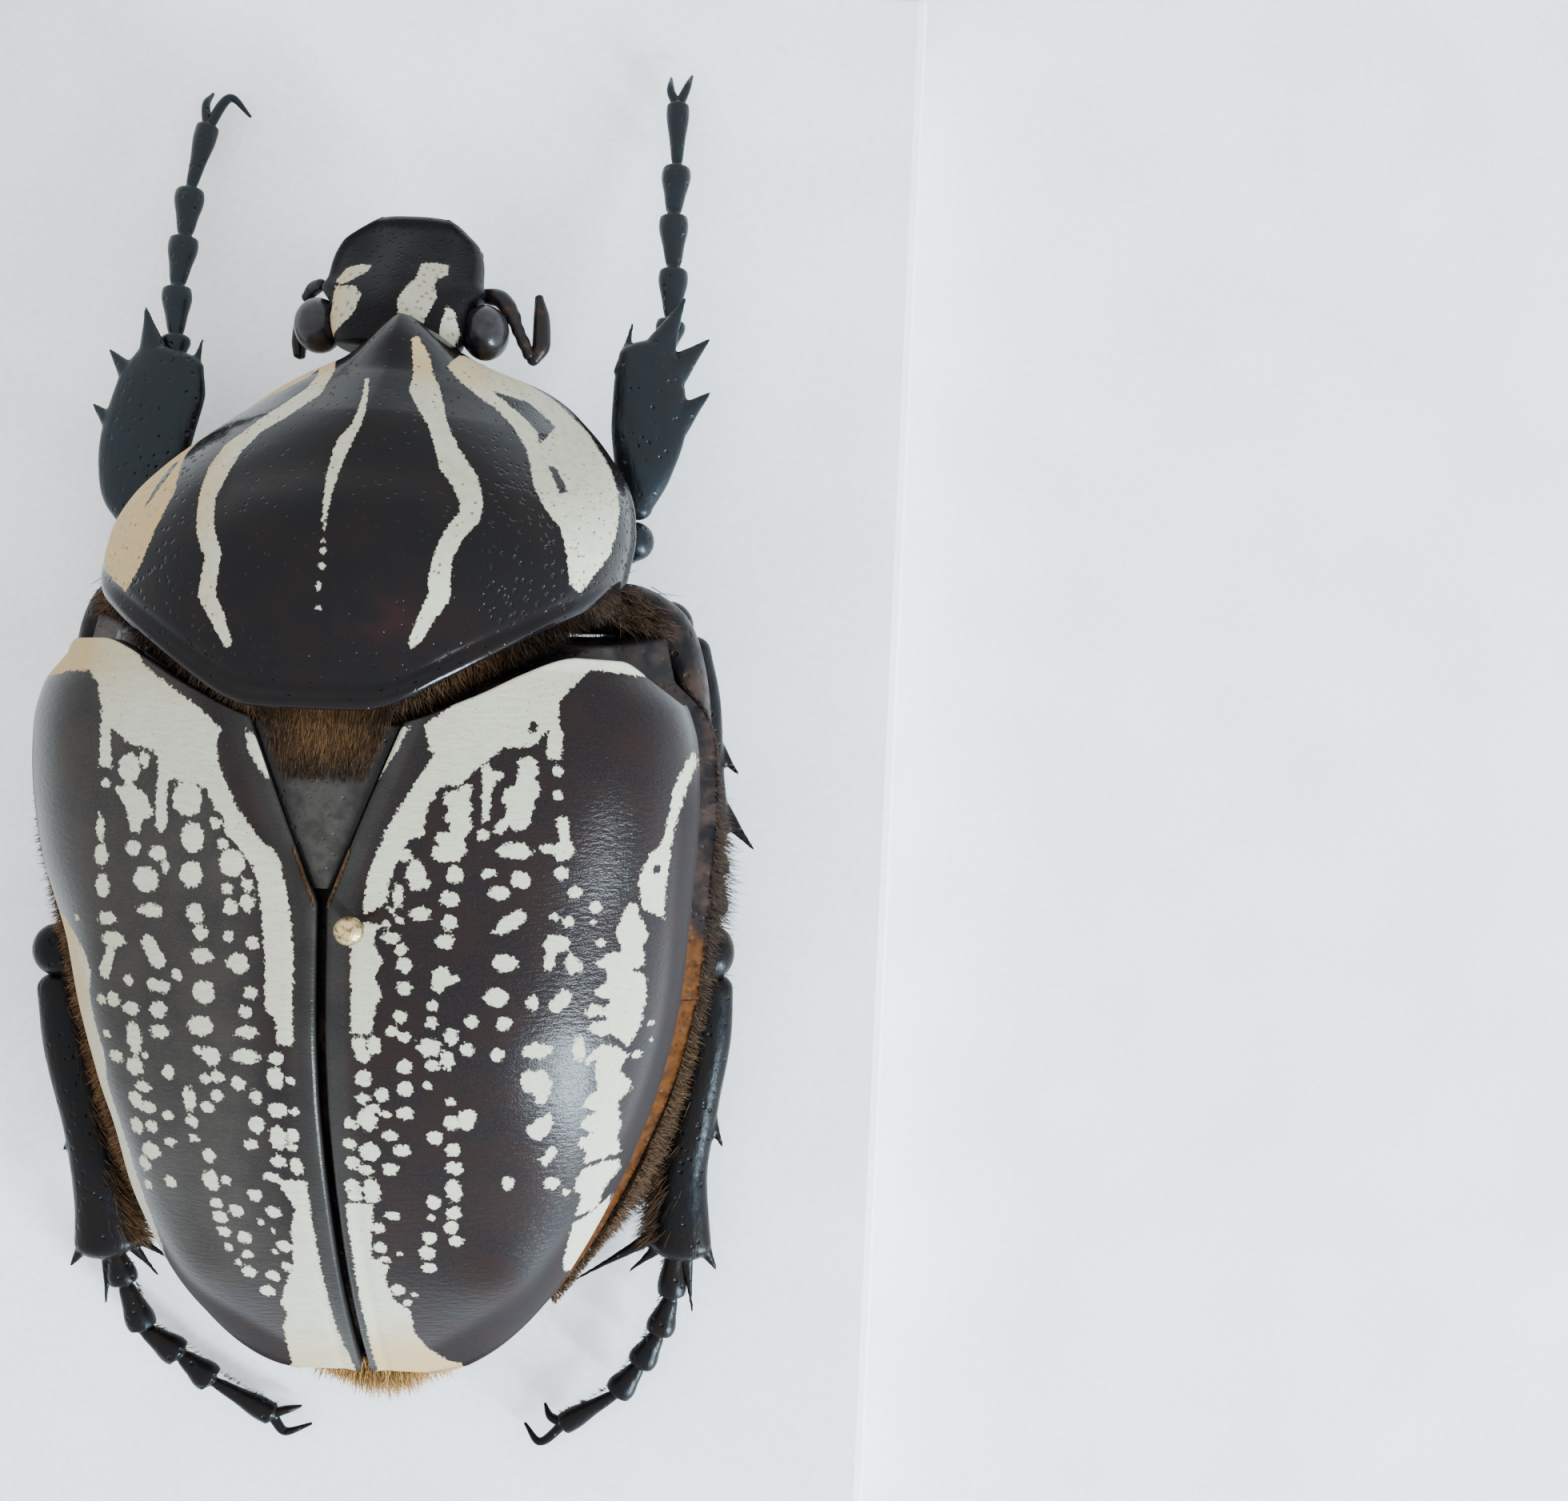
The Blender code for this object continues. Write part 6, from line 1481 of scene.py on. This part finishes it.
def make_pin(finish):
    low = ridge_height(PIN_PLACE[1]) - ELYTRA_THICKNESS
    half_height = PIN_HEAD_RADIUS * 0.85
    neck = PIN_HEAD_HEIGHT - half_height * 0.9
    profile = [(0.001, low), (PIN_SHAFT_RADIUS, low), (PIN_SHAFT_RADIUS, neck)]
    for turn in np.radians(np.linspace(-62, 88, 26)):
        profile.append((PIN_HEAD_RADIUS * math.cos(turn), PIN_HEAD_HEIGHT + half_height * math.sin(turn)))
    sides = 48
    angle = 2 * math.pi * np.arange(sides) / sides
    x, y = PIN_PLACE
    rings = [rows_of(x + r * np.cos(angle), y + r * np.sin(angle), 0 * angle + h) for r, h in profile]
    mesh = new_mesh("pin_head", loft_points(rings), loft_faces(len(rings), sides))
    return add_piece("pin_head", mesh, finish, ["pin"])


# Hair


def make_hair(name, roots, aims, lengths, golden, radius, finish, seed, droop=0.35):
    """Tapered three-sided hairs as one solid mesh, each with its own patch of the unwrap."""
    rng = np.random.default_rng(seed)
    count = len(roots)
    aims = aims / np.linalg.norm(aims, axis=1, keepdims=True)
    lengths = np.asarray(lengths)[:, None]
    sideways = np.cross(aims, rng.normal(size=(count, 3)))
    sideways /= np.linalg.norm(sideways, axis=1, keepdims=True)
    third = np.cross(aims, sideways)
    fall = np.array((0, 0, -1.0)) * droop * rng.uniform(0.4, 1.0, (count, 1))
    curl = sideways * rng.normal(0, 0.12, (count, 1)) + fall
    points = []
    for share, width in ((0.0, 1.0), (0.35, 0.85), (0.72, 0.55)):
        centre = roots + aims * lengths * share + curl * lengths * share**2
        for k in range(3):
            turn = 2 * math.pi * k / 3
            points.append(centre + (sideways * math.cos(turn) + third * math.sin(turn)) * radius * width)
    points.append(roots + aims * lengths + curl * lengths)
    points = np.stack(points, axis=1)
    faces = []
    for s in (0, 3):
        for k in range(3):
            n = (k + 1) % 3
            faces += [(s + k, s + n, s + 3 + n), (s + k, s + 3 + n, s + 3 + k)]
    faces += [(6 + k, 6 + (k + 1) % 3, 9) for k in range(3)]
    faces = (np.array(faces)[None] + 10 * np.arange(count)[:, None, None]).reshape(-1, 3)
    mesh = new_mesh(name, points.reshape(-1, 3), faces)
    set_values(
        mesh,
        tone=np.repeat(rng.uniform(0, 1, count), 10),
        golden=np.repeat(np.clip(golden + rng.normal(0, 0.12, count), 0, 1), 10),
    )
    patch = np.array([(math.cos(k), math.sin(k)) for k in range(10)]) * UNWRAP_PATCH
    home = np.stack([(roots[:, 0] + 24) / 48, (roots[:, 1] + 46) / 92], axis=1)
    spots = (home[:, None] + patch[None]).reshape(-1, 2)
    unwrap = mesh.uv_layers.new(name="OFBake")
    unwrap.data.foreach_set("uv", spots[faces.ravel()].astype(np.float32).ravel())
    return add_piece(name, mesh, finish)


def make_hair_by_side(name, roots, aims, lengths, golden, *rest):
    """Two pieces of hair, one each side of the body."""
    for word, side in (("right", 1), ("left", -1)):
        here = roots[:, 0] * side > 0
        make_hair(f"{name}_{word}", roots[here], aims[here], lengths[here], golden[here], *rest)


def make_collar_hair(finish, rng, radius):
    """Hair in the seam between the shield and the wing cases, golden over the scutellum's base."""
    count = COLLAR_HAIRS
    share = rng.uniform(-0.99, 0.99, count)
    x = PRONOTUM_HALF_WIDTH * 0.97 * share
    edge_y = PRONOTUM_CORNER_Y - pronotum_lobe(np.abs(share))
    bend = float(pronotum_roundness(1.0))
    top = 14.5 + 11.0 * (1 - np.abs(share) ** bend) ** (1 / bend)
    y = edge_y + rng.uniform(-0.1, 0.9, count)
    h = np.minimum(top - rng.uniform(1.0, 2.2, count), wing_height(x, np.minimum(edge_y - 1.0, 4.0)) - 0.1)
    slope = np.gradient(pronotum_lobe(np.linspace(0, 1, 101)), 0.01)[(np.abs(share) * 100).astype(int)]
    outward = -slope * np.sign(share) / PRONOTUM_HALF_WIDTH
    aims = rows_of(
        outward * 0.4 + rng.normal(0, 0.35, count),
        -1 + rng.normal(0, 0.2, count),
        rng.uniform(-0.45, 0.05, count),
    )
    middle = bell(x, 0.0, 2.6)
    golden = 0.05 + 0.85 * middle + 0.45 * bell(x, 7.5, 2.2) + 0.5 * smooth_step(-x, 11, 13)
    lengths = finishes().hair_length / MM * (0.62 + 0.75 * middle) * rng.uniform(0.6, 1.15, count)
    roots = rows_of(x + PROTHORAX_SHIFT, y, h)
    make_hair("collar_hair", roots, aims, lengths, golden, radius, finish, 1, 0.15)


def make_scutellum_hair(finish, rng, radius):
    """Short hair lying back over the scutellum, golden at its base, and strands beside its tip."""
    count = SCUTELLUM_HAIRS
    y = 2.6 - 3.6 * rng.uniform(size=count) ** 1.5
    x = rng.uniform(-1, 1, count) * (scutellum_half_width(y) - 0.25 - 0.25 * smooth_step(y, -3, 2))
    edge = rng.uniform(size=count) < 0.09
    y = np.where(edge, rng.uniform(-7.4, -4.6, count), y)
    x = np.where(edge, np.sign(x) * (scutellum_half_width(y) + 0.25), x)
    h = ridge_height(y) + 0.02
    aims = rows_of(
        np.sign(x) * 0.1 - x * 0.08 + rng.normal(0, 0.12, count),
        -1 + rng.normal(0, 0.1, count),
        rng.uniform(0.03, 0.2, count),
    )
    golden = np.where(edge, 0.55, smooth_step(y, -0.9, 1.6) * bell(x, 0.0, 2.2) * 0.9)
    lengths = np.where(edge, 0.4, 0.4 + 0.7 * smooth_step(y, -1, 2)) * rng.uniform(0.6, 1.1, count)
    make_hair("scutellum_hair", rows_of(x, y, h), aims, lengths, golden, radius * 0.8, finish, 2, 0.05)


def make_shoulder_hair(finish, rng, radius):
    """Tufts that stick out between the shield's hind corners and the wing cases."""
    parts = []
    count = SHOULDER_HAIRS
    for side, glow in ((-1, 0.8), (1, 0.15)):
        x = side * rng.uniform(12.6, 15.6, count)
        y = 9.4 - (np.abs(x) - 12.6) * 0.35 + rng.normal(0, 0.5, count)
        h = rng.uniform(11.5, 14.4, count) - (np.abs(x) - 12.6) * 0.5
        aims = rows_of(
            side * (0.7 + rng.normal(0, 0.3, count)),
            -0.5 + rng.normal(0, 0.3, count),
            0.1 + rng.normal(0, 0.3, count),
        )
        parts.append((rows_of(x, y, h), aims, rng.uniform(0.7, 1.9, count), np.full(count, glow)))
    roots, aims, lengths, golden = (np.concatenate(column) for column in zip(*parts))
    make_hair("shoulder_hair", roots, aims, lengths, golden, radius * 1.1, finish, 3)


def make_flank_hair(finish, rng, radius):
    """Hair along the body's edge, sooty by the shoulders and golden to the rear, most on the left."""
    count = FLANK_HAIRS
    side = np.where(rng.uniform(size=count) < 0.5, -1.0, 1.0)
    y = 5 - 37.5 * rng.uniform(size=count) ** 0.9
    depth = rng.uniform(0, 1, count)
    x = side * (half_width(y) + SIDE_BULGE - 0.05 - depth * 0.7)
    h = margin_height(y) - 2.2 - 2.6 * depth
    aims = rows_of(
        side * rng.uniform(0.5, 1.3, count),
        -0.7 + rng.normal(0, 0.35, count),
        rng.normal(-0.25, 0.2, count),
    )
    thick = smooth_step(-y, -2, 6) * smooth_step(y, -31, -24)
    lengths = (0.6 + 2.1 * thick) * rng.uniform(0.5, 1.2, count) * (0.3 + 0.7 * depth)
    # On the right the deeper hairs are less golden: a painted shade under the wing case's rim
    right, left = smooth_step(-y, 8, 20) * 0.45 * (1 - 0.5 * depth), smooth_step(-y, 4, 12) * 1.1
    golden = np.where(side > 0, right, left)
    make_hair_by_side("flank_hair", rows_of(x, y, h), aims, lengths, golden, radius, finish, 4)


def make_tail_fringe(finish, rng, radius):
    """Golden fringe behind the wing cases' tips, longest in the middle."""
    count = TAIL_HAIRS
    inner = rng.uniform(size=count) < 0.5
    swing = np.where(inner, rng.normal(0.08, 0.25, count), rng.uniform(-0.9, 0.95, count))
    reach = rng.uniform(0.86, 1.0, count)
    x = 9.0 * np.sin(swing) * reach
    y = -30.2 - 6.6 * np.cos(swing) * reach
    h = rng.uniform(4.6, 7.6, count)
    aims = rows_of(
        np.sin(swing) * 0.8 + rng.normal(0, 0.2, count),
        -np.cos(swing) + rng.normal(0, 0.2, count),
        rng.normal(0.0, 0.2, count),
    )
    lengths = rng.uniform(0.8, 1.9, count) * (0.7 + 0.6 * np.exp(-((x - 0.8) ** 2) / 5))
    golden = np.full(count, 0.95)
    make_hair("tail_fringe", rows_of(x, y, h), aims, lengths, golden, radius * 1.1, finish, 5)


def make_leg_hair(finish, rng, radius):
    """Fringe along the inner side of the middle and hind legs, fair on the hind shins, and foot bristles."""
    roots, aims, lengths, golden = [], [], [], []
    for name, plan in LEGS.items():
        side = 1 if name.endswith("right") else -1
        for part, count, reach, glow in LEG_HAIRS:
            if name.startswith("front") and part != "femur":
                continue
            keys = plan[part] if part != "foot" else [(*p, 0.7, 0.5) for p in plan["foot"]]
            rows = resample(keys, 200)
            pick = rng.integers(10, 195, count)
            ahead = np.gradient(rows[:, :3], axis=0)[pick]
            ahead /= np.linalg.norm(ahead, axis=1, keepdims=True)
            across = np.cross(ahead, (0.0, 0.0, 1.0))
            across /= np.linalg.norm(across, axis=1, keepdims=True)
            inner = np.where(across[:, :1] * side > 0, -across, across)
            tilt = rng.normal(-0.2, 0.45, (count, 1))
            up = np.array((0, 0, 1.0)) * np.sin(tilt)
            out = inner * np.cos(tilt) * rows[pick, 3:4] * 0.95
            roots.append(rows[pick, :3] + out + up * rows[pick, 4:5] * 0.9)
            aims.append(inner * np.cos(tilt) + up + ahead * 0.8 + rng.normal(0, 0.18, (count, 3)))
            lengths.append(reach * rng.uniform(0.4, 1.1, count))
            fair = GOLDEN_SHINS.get(name, 0.0) * (part == "tibia")
            golden.append(glow + fair * rng.uniform(0, 1, count) ** (2 if side > 0 else 1))
    columns = [np.concatenate(column) for column in (roots, aims, lengths, golden)]
    make_hair_by_side("leg_hair", *columns, radius * 0.9, finish, 6, 0.1)


# Operators


class BEETLE_OT_wing_cases(bpy.types.Operator):
    """Both wing cases with their cream markings"""

    bl_idname = "beetle.wing_cases"
    bl_label = "Wing cases"

    def execute(self, context):
        finish = wing_finish()
        make_wing_case(1, finish)
        make_wing_case(-1, finish)
        return {"FINISHED"}


class BEETLE_OT_front_body(bpy.types.Operator):
    """Shield, head, eyes, antennae and mouthparts"""

    bl_idname = "beetle.front_body"
    bl_label = "Front body"

    def execute(self, context):
        chitin, brown, gloss = shield_finish(), brown_finish(), eye_finish()
        make_prothorax(chitin)
        make_head(head_finish())
        make_scutellum(chitin)
        for side in (1, -1):
            make_eye(side, gloss)
        make_antenna(1, ANTENNA_RIGHT, CLUB_RIGHT, brown)
        make_antenna(-1, ANTENNA_LEFT, CLUB_LEFT, brown)
        make_mouthparts(brown)
        return {"FINISHED"}


class BEETLE_OT_under_body(bpy.types.Operator):
    """Thorax and abdomen under the wing cases"""

    bl_idname = "beetle.under_body"
    bl_label = "Under body"

    def execute(self, context):
        finish = body_finish()
        make_thorax(finish)
        make_shoulder_plates(finish)
        make_abdomen(finish)
        return {"FINISHED"}


class BEETLE_OT_legs(bpy.types.Operator):
    """Six legs with their teeth, spurs, feet and claws"""

    bl_idname = "beetle.legs"
    bl_label = "Legs"

    def execute(self, context):
        smooth = leg_finish()
        hairy = leg_finish("hairy_leg_chitin", (0.007, 0.0042, 0.003), 0.1)
        for name, plan in LEGS.items():
            make_leg(name, plan, smooth if name.startswith("front") else hairy)
        return {"FINISHED"}


class BEETLE_OT_hair(bpy.types.Operator):
    """Hair between the plates, along the flanks, on the legs and at the tail"""

    bl_idname = "beetle.hair"
    bl_label = "Hair"

    def execute(self, context):
        f = finishes()
        brown = hair_finish("brown_hair", f.hair)
        golden = hair_finish("golden_hair", f.fringe)
        rng = np.random.default_rng(f.seed)
        radius = f.hair_radius / MM
        for make in (
            make_collar_hair, make_scutellum_hair, make_shoulder_hair, make_flank_hair, make_leg_hair,
        ):
            make(brown, rng, radius)
        make_tail_fringe(golden, rng, radius)
        return {"FINISHED"}


class BEETLE_OT_mount(bpy.types.Operator):
    """Head of the pin and the foam board"""

    bl_idname = "beetle.mount"
    bl_label = "Pin and board"

    def execute(self, context):
        make_pin(brass_finish())
        board = frame["nodes"]["foam_board"]
        foam = foam_finish()
        for slot in board.material_slots:
            slot.link = "OBJECT"
            slot.material = foam
        return {"FINISHED"}


def add_window():
    """One soft light, low on the right, that makes the glow on the right wing case."""
    data = bpy.data.lights.new("window", "AREA")
    data.shape = "RECTANGLE"
    data.size, data.size_y = WINDOW_SIZE
    data.energy = WINDOW_POWER
    data.color = WINDOW_COLOUR
    light = bpy.data.objects.new("window", data)
    bpy.context.scene.collection.objects.link(light)
    light.location = WINDOW_PLACE
    direction = Vector(WINDOW_TARGET) - light.location
    light.rotation_euler = direction.to_track_quat("-Z", "Y").to_euler()


def add_camera():
    """Camera at the photograph's angle, straight over the board."""
    data = bpy.data.cameras.new("top_view")
    data.sensor_width = SENSOR_WIDTH
    data.lens = SENSOR_WIDTH * CAMERA_RISE / VIEW_WIDTH
    data.shift_x = VIEW_SHIFT / PHOTO_WIDTH
    data.clip_start = MM
    camera = bpy.data.objects.new("top_view", data)
    camera.location = CAMERA_PLACE
    camera.rotation_euler = (0.0, 0.0, math.radians(CAMERA_TURN))
    bpy.context.scene.collection.objects.link(camera)
    bpy.context.scene.camera = camera


class BEETLE_OT_stage(bpy.types.Operator):
    """Pale floor, soft light and the camera over the beetle"""

    bl_idname = "beetle.stage"
    bl_label = "Stage"

    def execute(self, context):
        scene = context.scene
        mesh = bpy.data.meshes.new("floor")
        corners = [(x * FLOOR_REACH, y * FLOOR_REACH, 0) for x, y in ((-1, -1), (1, -1), (1, 1), (-1, 1))]
        mesh.from_pydata(corners, [], [(0, 1, 2, 3)])
        mesh.materials.append(foam_finish("floor_white"))
        floor = bpy.data.objects.new("floor", mesh)
        floor.location.z = -FLOOR_DROP
        scene.collection.objects.link(floor)

        scene.world = scene.world or bpy.data.worlds.new("room")
        scene.world.use_nodes = True
        room = scene.world.node_tree.nodes["Background"]
        room.inputs["Color"].default_value = ROOM_COLOUR
        room.inputs["Strength"].default_value = ROOM_STRENGTH

        add_window()
        add_camera()
        return {"FINISHED"}


class BEETLE_PT_panel(bpy.types.Panel):
    """Lists the beetle's operators and finishes"""

    bl_idname = "BEETLE_PT_panel"
    bl_label = "Pinned Goliath Beetle"
    bl_space_type = "VIEW_3D"
    bl_region_type = "UI"
    bl_category = "Beetle"

    def draw(self, context):
        for operator in OPERATORS:
            self.layout.operator(operator.bl_idname)
        group = context.scene.beetle_finishes
        for name in BeetleFinishes.__annotations__:
            self.layout.prop(group, name)


OPERATORS = (
    BEETLE_OT_wing_cases,
    BEETLE_OT_front_body,
    BEETLE_OT_under_body,
    BEETLE_OT_legs,
    BEETLE_OT_hair,
    BEETLE_OT_mount,
    BEETLE_OT_stage,
)
CLASSES = (BeetleFinishes, *OPERATORS, BEETLE_PT_panel)


def register():
    for each in CLASSES:
        bpy.utils.register_class(each)
    bpy.types.Scene.beetle_finishes = PointerProperty(type=BeetleFinishes)


def unregister():
    del bpy.types.Scene.beetle_finishes
    for each in reversed(CLASSES):
        bpy.utils.unregister_class(each)


def main():
    register()
    bpy.ops.beetle.wing_cases()
    bpy.ops.beetle.front_body()
    bpy.ops.beetle.under_body()
    bpy.ops.beetle.legs()
    bpy.ops.beetle.hair()
    bpy.ops.beetle.mount()
    bpy.ops.beetle.stage()


if __name__ == "__main__":
    main()
